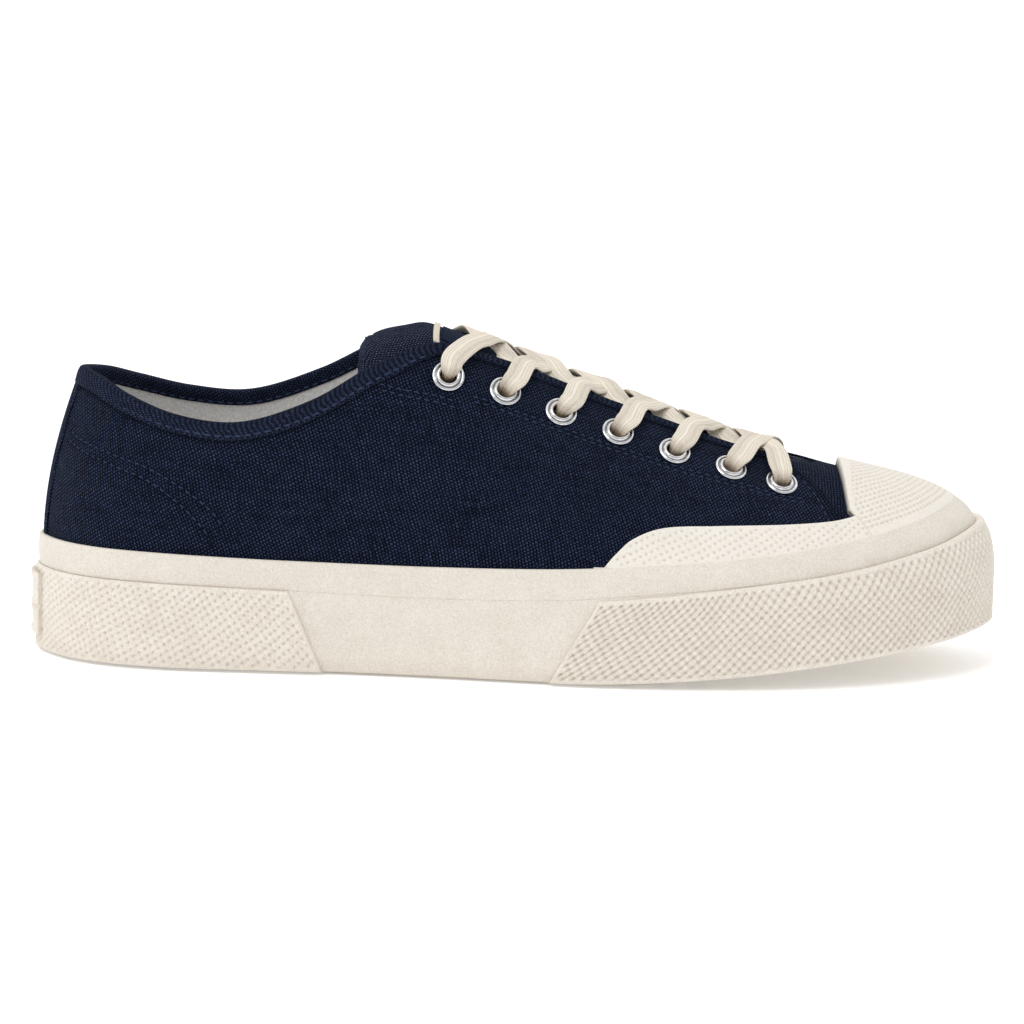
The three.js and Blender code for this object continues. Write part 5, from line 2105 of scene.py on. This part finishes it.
@dataclass
class Upper:
    """The canvas upper: lined shell, two quarters, collar binding, back strip and their seams."""

    last: Last
    finishes: Finishes
    eyelets: Eyelets
    quarter_wall: float = 0.9
    collar_width: float = 4.9
    collar_inside: float = 4.1
    facing_width: float = 3.1
    binding_end: float = 11.86
    stay_setback: float = 6.6

    def build(self) -> None:
        """Builds the upper's pieces and cuts the eyelet holes."""
        shell = self.shell()
        quarters = [self.quarter(side, name) for side, name in ((-1, "outer"), (1, "inner"))]
        self.eyelets.cut(shell, *quarters)
        settle(shell, "canvas", "upper")
        for quarter in quarters:
            settle(quarter, "canvas")
        self.binding()
        self.back_strip()
        self.stitching()

    def rib(self, place: np.ndarray | float, side: int) -> np.ndarray:
        """u of a place counted in ribs from the heel seam, on one side of the shoe."""
        share = np.asarray(place, float) / self.last.count
        return share if side < 0 else 1 - share

    def folds(self, points: np.ndarray, side: int) -> np.ndarray:
        """How far the canvas stands out of the last at points of one side.

        Args:
            points: Points of the surface.
            side: -1 for the outer side, 1 for the inner side.

        Returns:
            Heights in millimetres.
        """
        stand = 0.12 * np.sin(
            points[..., 0] * 0.09 + points[..., 2] * 0.13
        ) * np.sin(points[..., 2] * 0.21 + 1.0)
        for at, x, z, angle, length, width, depth in FOLDS.rows:
            if at != side:
                continue
            way = math.radians(angle)
            dx, dz = points[..., 0] - x, points[..., 2] - z
            along, across = dx * math.cos(way) + dz * math.sin(way), dz * math.cos(way) - dx * math.sin(way)
            stand = stand + depth * bell(across, width) * bell(along, length * 0.55)
        return stand

    def shell(self) -> bpy.types.Object:
        """The lined shell: vamp cloth outside, pale lining inside, folded over at the throat.

        Returns:
            The shell, with its holes still to be cut.
        """
        last, wall = self.last, CANVAS_WALL
        u = last.u_steps(0.0, 1.0, 1.0, 0.5)[:-1, None]
        climb = np.linspace(0, 1, 58)
        outside = last.off(u, climb[None, :-2], -self.quarter_wall)
        inside_t = climb[None, :-2][:, ::-1]
        inside = last.off(u, inside_t, -wall)
        top, normal = last.skin(u, 1.0), last.normal(u, 1.0)
        up = unit(top - last.skin(u, 0.97))
        radius = (wall - self.quarter_wall) / 2
        centre = top - normal * (self.quarter_wall + radius) - up * 0.6
        turn = np.radians([10, 50, 90, 130, 170])[None, :, None]
        fold = centre + radius * (np.cos(turn) * normal + np.sin(turn) * up)
        loops = np.concatenate([outside, fold, inside], 1)
        joined = np.concatenate([loops, loops[:1]], 0)
        joined = np.concatenate([joined, joined[:, :1]], 1)
        face = outside.shape[1] + 3
        draft = Draft()
        flat = np.stack([joined[..., 0] * 1.08, joined[..., 1] * (1 + np.abs(joined[..., 1]) / 80)], -1)
        draft.grid(loops, uv=flat, close=(True, True), slot=lambda column: (column >= face).astype(int))
        return draft.make("vamp_and_lining", self.finishes.canvas, self.finishes.lining)

    def front_edge(self, t: np.ndarray) -> np.ndarray:
        """Place of the quarter's front edge, in ribs, by t."""
        edge = np.array(FRONT_EDGE)
        return np.interp(t, edge[:, 1], edge[:, 0])

    def quarter(self, side: int, name: str) -> bpy.types.Object:
        """One side panel, from the heel seam to its folded front edge.

        Args:
            side: -1 for the outer side, 1 for the inner side.
            name: outer or inner.

        Returns:
            The piece, before its holes are cut.
        """
        last = self.last
        across, rise_u = border_lines(244.0, 0.95, 0.45)
        share = across / across[-1]
        up, rise_v = border_lines(78.0, 0.95, 0.3)
        t = mix(0.12, 0.975, up / up[-1])[None, :]
        place = share[:, None] * self.front_edge(t)
        u = self.rib(place, side)
        base = last.skin(u, t)
        uv = arc_uv(base, centre=0.55)
        height = panel_height(rise_u, np.maximum(rise_v, 0), -self.quarter_wall - 0.1, 0.0, 0.45)
        stitched, relief = self.seam_dents(base, side)
        height = height + self.folds(base, side) * smooth(share / 0.03)[:, None] * smooth(
            (1 - share) / 0.04
        )[:, None]
        height = height - stitched
        # Painted shade along the quarter's front edge.
        relief = relief * (1 - 0.6 * smooth((share - 0.986) / 0.008))[:, None]
        points = base + last.normal(u, t) * height[..., None]
        foot = last.off(u, t, -self.quarter_wall - 0.1)
        if side > 0:
            points, uv, relief, foot = points[::-1], uv[::-1], relief[::-1], foot[::-1]
        draft = Draft()
        draft.panel(points, uv=uv, relief=relief, foot=foot)
        return draft.make(f"quarter_{name}", self.finishes.canvas)

    def lines(self, side: int) -> list[np.ndarray]:
        """The quarter's stitched lines on one side, as rows of (u, t).

        Args:
            side: -1 for the outer side, 1 for the inner side.

        Returns:
            Lines of closely spaced places.
        """
        last = self.last
        rows = [catmull(seam, np.linspace(0, 1, 90)) for seam in COUNTER_SEAMS]
        for drop in (0.0, 1.9):
            ribs = np.linspace(6.9, 11.55, 120)
            seats = self.eyelets.seats[side]
            eyelet_ribs = np.array([seat.u if side < 0 else 1 - seat.u for seat in seats]) * last.count
            setback = np.interp(
                ribs, eyelet_ribs, [row[1] for row in EYELETS.rows]
            ) + self.stay_setback + drop
            front = np.stack([ribs, last.t_below_top(self.rib(ribs, side), setback)], -1)
            rear = np.array(STAY_REAR) - [0, 0.028 * drop / 1.9]
            keep = front[front[:, 0] > 7.15]
            rows.append(np.concatenate([catmull(rear, np.linspace(0, 1, 24)), keep]))
        edge_t = np.linspace(0.4, 0.93, 60)
        rows.append(np.stack([self.front_edge(edge_t) - 0.17, edge_t], -1))
        return rows

    def seam_dents(self, base: np.ndarray, side: int) -> tuple[np.ndarray, np.ndarray]:
        """How far the quarter's seams pull the cloth down, with the slight ridge of the stay between them.

        Args:
            base: Points of the quarter.
            side: -1 for the outer side, 1 for the inner side.

        Returns:
            The depth, and a relief value that darkens the seams and the groove under the binding with
            painted shade.
        """
        sunk = np.zeros(base.shape[:-1])
        ribs = np.linspace(0, 11.6, 300)
        around = self.rib(ribs, side)
        width = mix(self.facing_width, self.collar_width, self.collar(ribs / self.last.count))
        groove = np.stack([ribs, self.last.t_below_top(around, width + 0.45)], -1)
        for row in [*self.lines(side), groove]:
            track = self.last.skin(self.rib(row[:, 0], side), row[:, 1])
            near = np.full(base.shape[:-1], 99.0)
            for point in track[::2]:
                near = np.minimum(near, np.linalg.norm(base - point, axis=-1))
            sunk = np.maximum(sunk, bell(near, 0.9))
        return 0.38 * sunk, 1 - 0.6 * sunk

    def collar(self, u: np.ndarray) -> np.ndarray:
        """How far round the collar a rib is, from 1 behind the throat's corners to 0 along the facings."""
        place = np.abs(u) * self.last.count
        return 1 - smooth((place - 6.2) / 1.4)

    def binding(self) -> None:
        """The band folded over the collar and, narrower, along both facings."""
        last = self.last
        end = self.binding_end / last.count
        u = last.u_steps(-end, end, 0.9, 0.98)
        collar = self.collar(u)
        width = mix(self.facing_width, self.collar_width, collar)
        inside = mix(3.0, self.collar_inside, collar)
        heel = 1 - smooth((np.abs(u) * last.count - 0.6) / 3.2)
        stand = mix(0.45, 0.6, collar) + 0.35 * heel
        top, normal = last.skin(u, 1.0), last.normal(u, 1.0)
        up = unit(top - last.skin(u, 0.97))
        loops = []
        for share, lift in (
            (1.0, -0.35), (1.0, 0.1), (0.97, 0.62), (0.9, 0.9), (0.7, 1.0), (0.45, 1.12), (0.2, 1.15)
        ):
            t = last.t_below_top(u, width * share)
            loops.append(last.off(u, t, stand * lift if lift > 0 else np.full(u.shape, lift)))
        half = (CANVAS_WALL + stand * 1.7) / 2
        centre = top - normal * (CANVAS_WALL / 2 - stand * 0.15)[:, None]
        for turn in np.radians([15, 40, 65, 90, 115, 140, 165]):
            round_ = normal * (half * math.cos(turn))[:, None] + up * (half * 0.6 * math.sin(turn))[:, None]
            loops.append(centre + round_)
        for share, lift in ((0.2, 0.85), (0.5, 0.8), (0.85, 0.7), (0.98, 0.5), (1.0, 0.05), (1.0, -0.4)):
            t = last.t_below_top(u, inside * share)
            loops.append(last.off(u, t, -CANVAS_WALL - np.maximum(stand * lift, lift if lift < 0 else 0)))
        draft = Draft()
        draft.tube(np.stack(loops, 1))
        settle(draft.make("collar_binding", self.finishes.binding), "canvas")

    def back_strip(self) -> None:
        """The narrow strip down the heel seam."""
        last, half = self.last, 6.5
        reach = float(solve(lambda s: -last.skin(s, 0.4)[..., 1], np.array(half), 0.0, 0.1))
        across, rise_u = border_lines(2 * half, 0.8, 0.4)
        up, rise_v = border_lines(52.0, 0.8, 0.3)
        u = mix(-reach, reach, across / (2 * half))[:, None]
        t = mix(0.14, float(last.t_below_top(0.0, 3.6)[0]), up / up[-1])[None, :]
        base = last.skin(u, t)
        height = panel_height(rise_u, np.maximum(rise_v, 0), -0.3, 0.62, 0.4)
        draft = Draft()
        draft.panel(base + last.normal(u, t) * height[..., None])
        settle(draft.make("back_strip", self.finishes.canvas), "canvas")

    def stitching(self) -> None:
        """All the seams' stitches: quarters, front edges, collar and back strip."""
        last = self.last
        quarter, collar = Draft(), Draft()
        fine = Seam(length=1.7, gap=0.95, radius=0.2, sunk=0.06)
        for side in (-1, 1):
            for row in self.lines(side):
                u = self.rib(row[:, 0], side)
                base = last.skin(u, row[:, 1])
                out = last.normal(u, row[:, 1])
                fine.row(quarter, base + out * (self.folds(base, side) - 0.3)[:, None], out)
            t = np.linspace(0.2, 0.9, 80)
            reach = 0.0088 * side
            fine.row(quarter, last.off(-reach + 0 * t, t, 0.62), last.normal(-reach + 0 * t, t))
        bold = Seam(length=2.0, gap=1.1, radius=0.25, sunk=0.08)
        end = 7.0 / last.count
        u = last.u_steps(-end, end, 0.8, 0.95)
        outside = last.t_below_top(u, np.full(u.shape, self.collar_width - 1.25))
        bold.row(collar, last.off(u, outside, 0.5), last.normal(u, outside))
        inside = last.t_below_top(u, np.full(u.shape, self.collar_inside - 0.9))
        bold.row(collar, last.off(u, inside, -CANVAS_WALL - 0.42), -last.normal(u, inside))
        settle(quarter.make("quarter_stitches", self.finishes.thread), "canvas")
        settle(collar.make("collar_stitches", self.finishes.thread), "canvas")


# ---- Tongue --------------------------------------------------------------------------------------

# The free end of the tongue, behind the top corners of the throat.
TONGUE_END = Table(
    ("x", "crest_z", "half_width", "side_z"),
    (
        (-49, 95.4, 17.5, 87.6),
        (-46.5, 98.9, 20.5, 87.6),
        (-42, 101.3, 21.6, 87.8),
        (-35, 103.0, 21.4, 88.4),
        (-29, 103.8, 20.4, 89.4),
    ),
)


@dataclass
class Tongue:
    """The tongue with its hem, label and cream tab."""

    last: Last
    finishes: Finishes
    thickness: float = 2.2
    depth: float = 3.6
    tuck: float = 14.0
    crown: float = 2.0
    crown_rear: float = 4.0
    hem: float = 5.0

    def __post_init__(self) -> None:
        """Lays out the tongue's upper face as a fine grid, from its free end to the vamp."""
        shares = (-1, -0.8, -0.5, 0, 0.5, 0.8, 1)
        marks = []
        for x, crest, half, side in TONGUE_END.rows:
            marks.append([(x, s * half, mix(crest, side, abs(s) ** 2.2)) for s in shares])
        marks += [self.in_throat(rib) for rib in (7.4, 8, 8.6, 9.2, 9.8, 10.4, 11, 11.6, 12.2, 12.8, 13.4)]
        across, self.rise_across = border_lines(44.0, 0.9, 0.9)
        length, self.rise_along = border_lines(146.0, 0.9, 0.9)
        sections = catmull(np.swapaxes(np.array(marks), 0, 1), across / across[-1])
        track = catmull(np.swapaxes(sections, 0, 1), np.linspace(0, 1, 600))
        middle = track[:, len(across) // 2]
        gone = np.concatenate([[0], np.cumsum(np.linalg.norm(np.diff(middle, axis=0), axis=-1))])
        self.along = length / length[-1] * gone[-1]
        self.face = catmull(
            np.swapaxes(sections, 0, 1), np.interp(self.along, gone, np.linspace(0, 1, 600))
        )
        along = np.gradient(self.face, axis=0)
        self.normal = unit(np.cross(along, np.gradient(self.face, axis=1)))

    def in_throat(self, rib: float) -> list[np.ndarray]:
        """The tongue's section under the facings at one rib.

        Args:
            rib: The rib's number.

        Returns:
            Points across the section, from the outer side to the inner side.
        """
        last = self.last
        outer, inner = rib / last.count, 1 - rib / last.count

        def under(u: float, distance: float) -> np.ndarray:
            """A point of the tongue under the facing.

            Args:
                u: The rib, as a share of the way round.
                distance: The distance from the topline.

            Returns:
                The point.
            """
            return last.off(
                u, float(last.t_below_top(u, distance)[0]), -mix(self.depth, 2.1, smooth((rib - 12) / 0.8))
            )

        a, b = under(outer, 0.02), under(inner, 0.02)
        rise = mix(
            self.crown_rear, self.crown, smooth((rib - 7.4) / 1.6)
        ) * (1 - 0.8 * smooth((rib - 11.5) / 1.9))
        crest = (a + b) / 2 + [0, 0, float(rise)]
        return [
            under(outer, self.tuck),
            under(outer, self.tuck / 2),
            a,
            crest,
            b,
            under(inner, self.tuck / 2),
            under(inner, self.tuck),
        ]

    def height(self, x: float) -> float:
        """Height of the tongue's middle at x."""
        middle = self.face[:, self.face.shape[1] // 2]
        return float(np.interp(x, middle[:, 0], middle[:, 2]))

    def build(self) -> None:
        """Builds the tongue, its label and tab, and its seams."""
        rise = np.sqrt(np.clip(np.minimum(self.rise_along[:, None], self.rise_across[None, :]), 0, 1))
        half = self.thickness / 2
        hem = 0.35 * smooth((self.hem - self.along) / 0.5)[:, None]
        welt = 0.25 * bell(self.along - self.hem - 0.4, 0.5)[:, None]
        quilt = 0.12 * np.sin(self.face[..., 0] * 0.4) * np.sin(self.face[..., 1] * 0.3)
        middle = self.face - self.normal * half
        over = middle + self.normal * (rise * (half + hem) - welt * rise + quilt * rise)[..., None]
        under = middle - self.normal * (rise * half)[..., None]
        uv = arc_uv(self.face, 0.3)[..., ::-1]
        draft = Draft()
        draft.grid(over, uv=uv)
        draft.grid(under, uv=uv, flip=True)
        settle(draft.make("tongue_cloth", self.finishes.tongue), "tongue_canvas", "tongue")
        stitches = Draft()
        row = int(np.argmin(np.abs(self.along - (self.hem - 1.0))))
        span = slice(6, -6)
        Seam(length=1.8, gap=1.0, radius=0.2).row(
            stitches, over[row, span] + self.normal[row, span] * 0.02, self.normal[row, span]
        )
        settle(stitches.make("tongue_stitches", self.finishes.thread), "tongue_canvas")
        self.patch("tongue_label_blank", -23.5, -6.5, 11.0, 0.5, self.finishes.label, "tongue_canvas")
        self.patch("tongue_tab", -26.2, -24.4, 12.0, 0.85, self.finishes.cream, "lace_cotton")

    def patch(
        self,
        name: str,
        start: float,
        end: float,
        half: float,
        wall: float,
        finish: bpy.types.Material,
        slot: str,
    ) -> None:
        """A small flat piece sewn on the tongue.

        Args:
            name: The piece's name.
            start: x of its rear edge.
            end: x of its front edge.
            half: Half its width across the tongue.
            wall: Its thickness.
            finish: Its material.
            slot: The record's material slot.
        """
        middle = self.face[:, self.face.shape[1] // 2, 0]
        length, rise_u = border_lines(end - start, 0.5, 0.25)
        width, rise_v = border_lines(2 * half, 0.7, 0.25)
        rows = np.interp(start + length, middle, np.arange(len(middle)))
        section_y = self.face[int(rows.mean()), :, 1]
        cols = np.interp(width - half, section_y, np.arange(len(section_y)))
        grid = self.sample(self.face, rows, cols)
        out = unit(self.sample(self.normal, rows, cols))
        height = panel_height(rise_u, rise_v, -0.4, wall, 0.25)
        draft = Draft()
        draft.panel(grid + out * height[..., None])
        settle(draft.make(name, finish), slot)

    @staticmethod
    def sample(grid: np.ndarray, rows: np.ndarray, cols: np.ndarray) -> np.ndarray:
        """Reads a grid between its lines.

        Args:
            grid: The grid.
            rows: Places along it, in lines.
            cols: Places across it, in lines.

        Returns:
            The values, a row for each of rows and a column for each of cols.
        """
        r0 = np.clip(np.floor(rows).astype(int), 0, grid.shape[0] - 2)
        c0 = np.clip(np.floor(cols).astype(int), 0, grid.shape[1] - 2)
        fr, fc = (rows - r0)[:, None, None], (cols - c0)[None, :, None]
        top = mix(grid[r0][:, c0], grid[r0][:, c0 + 1], fc)
        return mix(top, mix(grid[r0 + 1][:, c0], grid[r0 + 1][:, c0 + 1], fc), fr)


# ---- Lace ----------------------------------------------------------------------------------------


class Layer(Enum):
    """Whether a strand passes over or under the other one where they cross."""

    OVER = "over"
    UNDER = "under"


@dataclass
class Lace:
    """One flat lace, laced through all the eyelets. Its two ends lie hidden inside, at the top eyelets."""

    last: Last
    finishes: Finishes
    eyelets: Eyelets
    tongue: Tongue
    width: float = 7.1
    thickness: float = 1.15
    bunched: float = 4.4
    lean: float = 0.45
    top_lean: float = -0.1
    near_shift: float = 5.4
    far_shift: float = 2.6
    top_shift: float = -2.0
    tilt: float = 48.0
    roll: float = -22.0
    near_over: tuple[bool, ...] = (True, False, False, True, True, True)
    over_height: float = 3.4
    under_height: float = 1.7
    over_rise: float = 1.6
    under_rise: float = 0.2
    dip: float = 1.6

    def mark(
        self, at: np.ndarray, out: np.ndarray, width: float, curl: float = 0.0, lit_share: float = 1.0
    ) -> np.ndarray:
        """One row of the route: place, direction of the lace's face, width, curl and relief, whose low
        values paint shade.
        """
        return np.concatenate([at, unit(out), [width, curl, lit_share]])

    def up_through(self, seat: Seat, lean: float) -> list[np.ndarray]:
        """The route up through an eyelet, from under the facing to its top.

        Args:
            seat: The eyelet.
            lean: How far the lace leans towards the toe above the eyelet, as a share of its way to the edge.

        Returns:
            Marks of the route.
        """
        c, n, e = seat.centre, seat.out, seat.edge
        d = unit(e + lean * seat.ahead)
        w = self.bunched
        # The last value of each mark is low inside the eyelet, which paints shade on the lace there.
        return [
            self.mark(c - n * 3.0 + e * 1.6, n * 1.0 + e * 0.25, w + 1.0, 0.2, 0.3),
            self.mark(c - n * 2.2 + d * 0.1, n + d, w, 0.8, 0.1),
            self.mark(c - n * 0.5 + d * 0.4, d, w, 1.0, 0.15),
            self.mark(c + n * 1.2 + d * 0.9, d - n * 0.35, w + 0.9, 0.9, 0.55),
            self.mark(c + n * 2.35 + d * 2.6, d * 0.35 - n, self.width - 0.6, 0.6, 0.95),
            self.mark(c + n * 2.4 + d * 5.2, -n, self.width, 0.25, 1.0),
        ]

    def surface(self, u: float, t: float, height: float, width: float | None = None) -> np.ndarray:
        """A mark over or under the facing."""
        return self.mark(
            self.last.off(u, t, height), self.last.normal(u, t), self.width if width is None else width
        )

    def facing_out(self, y: float, half: float) -> np.ndarray:
        """The way a strand's face looks over the tongue, tilted outwards on either side of the middle.

        Args:
            y: The place across the shoe.
            half: Half the distance between the throat's edges.

        Returns:
            A unit direction.
        """
        share = float(np.clip(y / half, -1, 1))
        tilt = math.radians(self.tilt * math.copysign(abs(share) ** 0.5, share) + self.roll)
        return np.array([0.0, math.sin(tilt), math.cos(tilt)])

    def edge_rib(self, x: float, side: int) -> float:
        """The rib where one throat edge reaches x.

        Args:
            x: The place along the shoe.
            side: -1 for the outer side, 1 for the inner side.

        Returns:
            The rib, as a share of the way round.
        """
        shares = np.linspace(0.2, 0.48, 300)
        ribs = shares if side < 0 else 1 - shares
        return float(np.interp(x, self.last.skin(ribs, 1.0)[..., 0], ribs))

    def crossing(self, row: int, side: int, layer: Layer) -> list[np.ndarray]:
        """The route from the top of one eyelet over the tongue to the opposite facing.

        Args:
            row: The eyelet's row, from 0.
            side: The side that it starts from.
            layer: Whether it passes over the other strand.

        Returns:
            Marks of the route.
        """
        last = self.last
        goal = self.eyelets.seats[-side][row + 1]
        ends_on_top = row + 2 == len(EYELETS.rows)
        start_x, goal_x = EYELETS.rows[row][0], EYELETS.rows[row + 1][0]
        near = self.edge_rib(start_x + self.near_shift, side)
        far = self.edge_rib(goal_x + (self.top_shift if ends_on_top else self.far_shift), -side)
        over_edge, far_edge = last.off(near, 1.0, 2.1), last.off(far, 1.0, 1.7)
        marks = [self.mark(over_edge, last.normal(near, 0.97) + [0, 0, 0.45], self.width)]
        middle = mix(over_edge, far_edge, 0.5)
        floor = self.tongue.height(middle[0])
        over = layer is Layer.OVER
        above_tongue = self.over_height if over else self.under_height
        above_edges = self.over_rise if over else self.under_rise
        middle[2] = max(floor + above_tongue, middle[2] + above_edges)
        for share in (0.28, 0.5, 0.72):
            at = mix(over_edge, far_edge, share)
            at[2] = mix(
                at[2], middle[2] + (at[2] - mix(over_edge, far_edge, 0.5)[2]), 1.0 - abs(share - 0.5) * 1.4
            )
            marks.append(self.mark(at, self.facing_out(at[1], abs(over_edge[1])), self.width))
        if ends_on_top:
            marks.append(
                self.mark(last.off(far, 1.0, 1.75), last.normal(far, 0.97) + [0, 0, 0.4], self.width)
            )
            return marks + self.up_through(goal, self.top_lean)[::-1]
        marks[-1][2] -= self.dip
        dive = last.off(far, 1.0, -1.0) + [0, side * 1.6, 0]
        marks.append(self.mark(dive, np.array([0, side * 0.2, 1.0]), self.width))
        for share, depth in ((0.25, -2.95), (0.6, -3.0)):
            u, t = mix(far, goal.u, share), mix(1.0, goal.t, share)
            marks.append(self.surface(u, t, depth))
        return marks

    def half(self, side: int) -> list[np.ndarray]:
        """One half of the lace, from its hidden end to the underside of the last eyelet.

        Args:
            side: The side that the half starts on.

        Returns:
            The marks of the route, in order.
        """
        seats = self.eyelets.seats
        first = seats[side][0]
        marks = [
            self.surface(first.u, mix(first.t, 1.0, 0.72), -3.1),
            self.surface(first.u, mix(first.t, 1.0, 0.45), -3.15),
        ]
        for row in range(len(EYELETS.rows) - 1):
            marks += self.up_through(seats[side][row], self.lean)
            near_over = self.near_over[row]
            over = near_over if side < 0 else not near_over
            marks += self.crossing(row, side, Layer.OVER if over else Layer.UNDER)
            side = -side
        return marks

    def build(self) -> None:
        """Builds the lace along its whole route."""
        first, second = self.half(-1), self.half(1)
        bar = []
        for side in (-1, 1):
            seat = self.eyelets.seats[side][-1]
            bar.append(self.surface(seat.u, mix(seat.t, 1.0, 0.55), -2.85))
        crest = mix(bar[0][:3], bar[1][:3], 0.5)
        crest[2] = max(crest[2], self.tongue.height(crest[0]) + 0.7)
        bar.insert(1, self.mark(crest, np.array([0, 0, 1.0]), self.width))
        route = np.array(first + bar + second[::-1])
        for k in range(1, len(route)):
            if route[k, 3:6] @ route[k - 1, 3:6] < 0:
                route[k, 3:6] *= -1
        gone = np.concatenate([[0], np.cumsum(np.linalg.norm(np.diff(route[:, :3], axis=0), axis=-1))])
        fine = catmull(route, np.linspace(0, 1, 4000))
        track = np.concatenate([[0], np.cumsum(np.linalg.norm(np.diff(fine[:, :3], axis=0), axis=-1))])
        steps = np.linspace(0, track[-1], int(track[-1] / 0.7))
        path = np.stack([np.interp(steps, track, fine[:, k]) for k in range(fine.shape[1])], -1)
        LOG.info("lace: %.0f mm laced in, knots %.0f mm apart in all", track[-1], gone[-1])
        forward = unit(np.gradient(path[:, :3], axis=0))
        across = unit(np.cross(forward, path[:, 3:6]))
        up = np.cross(across, forward)
        half_angle = np.linspace(0, 2 * math.pi, 37)[:-1]
        flat = np.sign(np.cos(half_angle)) * np.abs(np.cos(half_angle)) ** 0.55
        thick = np.sign(np.sin(half_angle)) * np.abs(np.sin(half_angle)) ** 0.6
        ribs = 1 + 0.13 * np.cos(flat * math.pi * 5)
        width, curl = path[:, 6:7], path[:, 7:8]
        bulk = self.thickness * (1 + 0.35 * curl)
        spread = width / 2 * flat[None, :]
        bowl = curl * 1.1 * (flat[None, :] ** 2 - 0.35)
        rise = thick[None, :] * bulk / 2 * ribs[None, :] + bowl
        loops = path[:, None, :3] + across[:, None] * spread[..., None] + up[:, None] * rise[..., None]
        section = np.stack([flat * self.width / 2, thick * self.thickness / 2], -1)
        section = np.concatenate([section, section[:1]])
        girth = np.concatenate([[0], np.cumsum(np.linalg.norm(np.diff(section, axis=0), axis=-1))])
        uv = np.stack(np.broadcast_arrays(steps[:, None], girth[None, :]), -1)
        draft = Draft()
        draft.tube(loops[:, ::-1], uv=uv, relief=np.clip(path[:, 8:9], 0, 1))
        nodes = [f"lace_crossing_{row + 1}" for row in range(len(EYELETS.rows) - 1)]
        settle(draft.make("flat_lace", self.finishes.lace), "lace_cotton", *nodes)


# ---- Studio --------------------------------------------------------------------------------------


@dataclass
class Studio:
    """Camera, floor and soft light. Sizes are metres."""

    elevation: float = 9.0
    distance: float = 1.25
    roll: float = 1.2
    lens: float = 141.5
    target: tuple[float, float, float] = (-0.001, 0.0, 0.0452)
    floor_size: float = 40.0
    floor_glow: float = 0.26

    def build(self) -> None:
        """Sets up the whole studio."""
        self.camera()
        self.floor()
        self.light()

    def camera(self) -> None:
        """Places the camera level with the outer side, a little above, and turned clockwise by the roll."""
        data = bpy.data.cameras.new("camera")
        data.lens, data.sensor_width = self.lens, 36.0
        data.clip_start, data.clip_end = 0.05, 100.0
        tilt, roll = math.radians(self.elevation), math.radians(self.roll)
        back = Vector((0, -math.cos(tilt), math.sin(tilt)))
        right = Vector((1, 0, 0))
        up = back.cross(right)
        turned = (
            right * math.cos(roll) + up * math.sin(roll), up * math.cos(roll) - right * math.sin(roll), back
        )
        camera = bpy.data.objects.new("camera", data)
        camera.matrix_world = Matrix.Translation(
            Vector(self.target) + back * self.distance
        ) @ Matrix(turned).transposed().to_4x4()
        bpy.context.scene.collection.objects.link(camera)
        bpy.context.scene.camera = camera

    def floor(self) -> None:
        """A wide plain floor, gently uneven in tone. It glows a little, which lightens the shadows on it and
        adds light to the shoe from below.
        """
        material = bpy.data.materials.new("studio_paper")
        material.use_nodes = True
        graph = Graph(material.node_tree)
        shader = material.node_tree.nodes["Principled BSDF"]
        haze = graph.noise(graph.node("ShaderNodeTexCoord").outputs["Object"], 1.5)
        graph.feed(
            shader.inputs["Base Color"], graph.blend(haze, (0.93, 0.93, 0.93, 1), (0.95, 0.95, 0.95, 1))
        )
        shader.inputs["Roughness"].default_value = 0.9
        shader.inputs["Specular IOR Level"].default_value = 0.0
        # The glow lightens the floor's shadows and lights the shoe from below.
        shader.inputs["Emission Color"].default_value = (1.0, 1.0, 1.0, 1.0)
        shader.inputs["Emission Strength"].default_value = self.floor_glow
        half = self.floor_size / 2
        low = min(0.0, CAD_BOX[0].z)
        mesh = bpy.data.meshes.new("studio_floor")
        mesh.from_pydata(
            [(-half, -half, low), (half, -half, low), (half, half, low), (-half, half, low)],
            [],
            [(0, 1, 2, 3)],
        )
        mesh.materials.append(material)
        floor = bpy.data.objects.new("studio_floor", mesh)
        bpy.context.scene.collection.objects.link(floor)

    def light(self) -> None:
        """A pale room, darker towards the front, and a wide soft key light from above."""
        world = bpy.data.worlds.new("studio")
        bpy.context.scene.world = world
        world.use_nodes = True
        graph = Graph(world.node_tree)
        shade = world.node_tree.nodes["Background"]
        _, y, z = graph.xyz(graph.node("ShaderNodeTexCoord").outputs["Generated"])
        front = graph.ramp(y, -1.0, 0.2, 0.45, 1.0)
        above = graph.ramp(z, -0.1, 0.9, 0.72, 1.12)
        graph.feed(shade.inputs["Strength"], graph.math("MULTIPLY", front, above))
        graph.feed(shade.inputs["Color"], (1.0, 1.0, 1.0, 1.0))
        for name, azimuth, height, strength, angle in (("key", -35, 52, 0.95, 35),):
            data = bpy.data.lights.new(name, "SUN")
            data.energy, data.angle = strength, math.radians(angle)
            lamp = bpy.data.objects.new(name, data)
            a, e = math.radians(azimuth), math.radians(height)
            way = Vector((math.sin(a) * math.cos(e), -math.cos(a) * math.cos(e), math.sin(e)))
            lamp.rotation_mode = "QUATERNION"
            lamp.rotation_quaternion = way.to_track_quat("Z", "Y")
            bpy.context.scene.collection.objects.link(lamp)
        bpy.context.scene.view_settings.view_transform = "Standard"


# ---- The shoe ------------------------------------------------------------------------------------


def main() -> None:
    """Builds the studio and then the shoe, piece by piece."""
    logging.basicConfig(level=logging.INFO, format="%(name)s: %(message)s")
    Studio().build()
    last, finishes = Last(), Finishes()
    Sole(last, finishes).build()
    ToeRubber(last, finishes).build()
    eyelets = Eyelets(last, finishes)
    eyelets.build()
    Upper(last, finishes, eyelets).build()
    tongue = Tongue(last, finishes)
    tongue.build()
    Lace(last, finishes, eyelets, tongue).build()


if __name__ == "__main__":
    main()
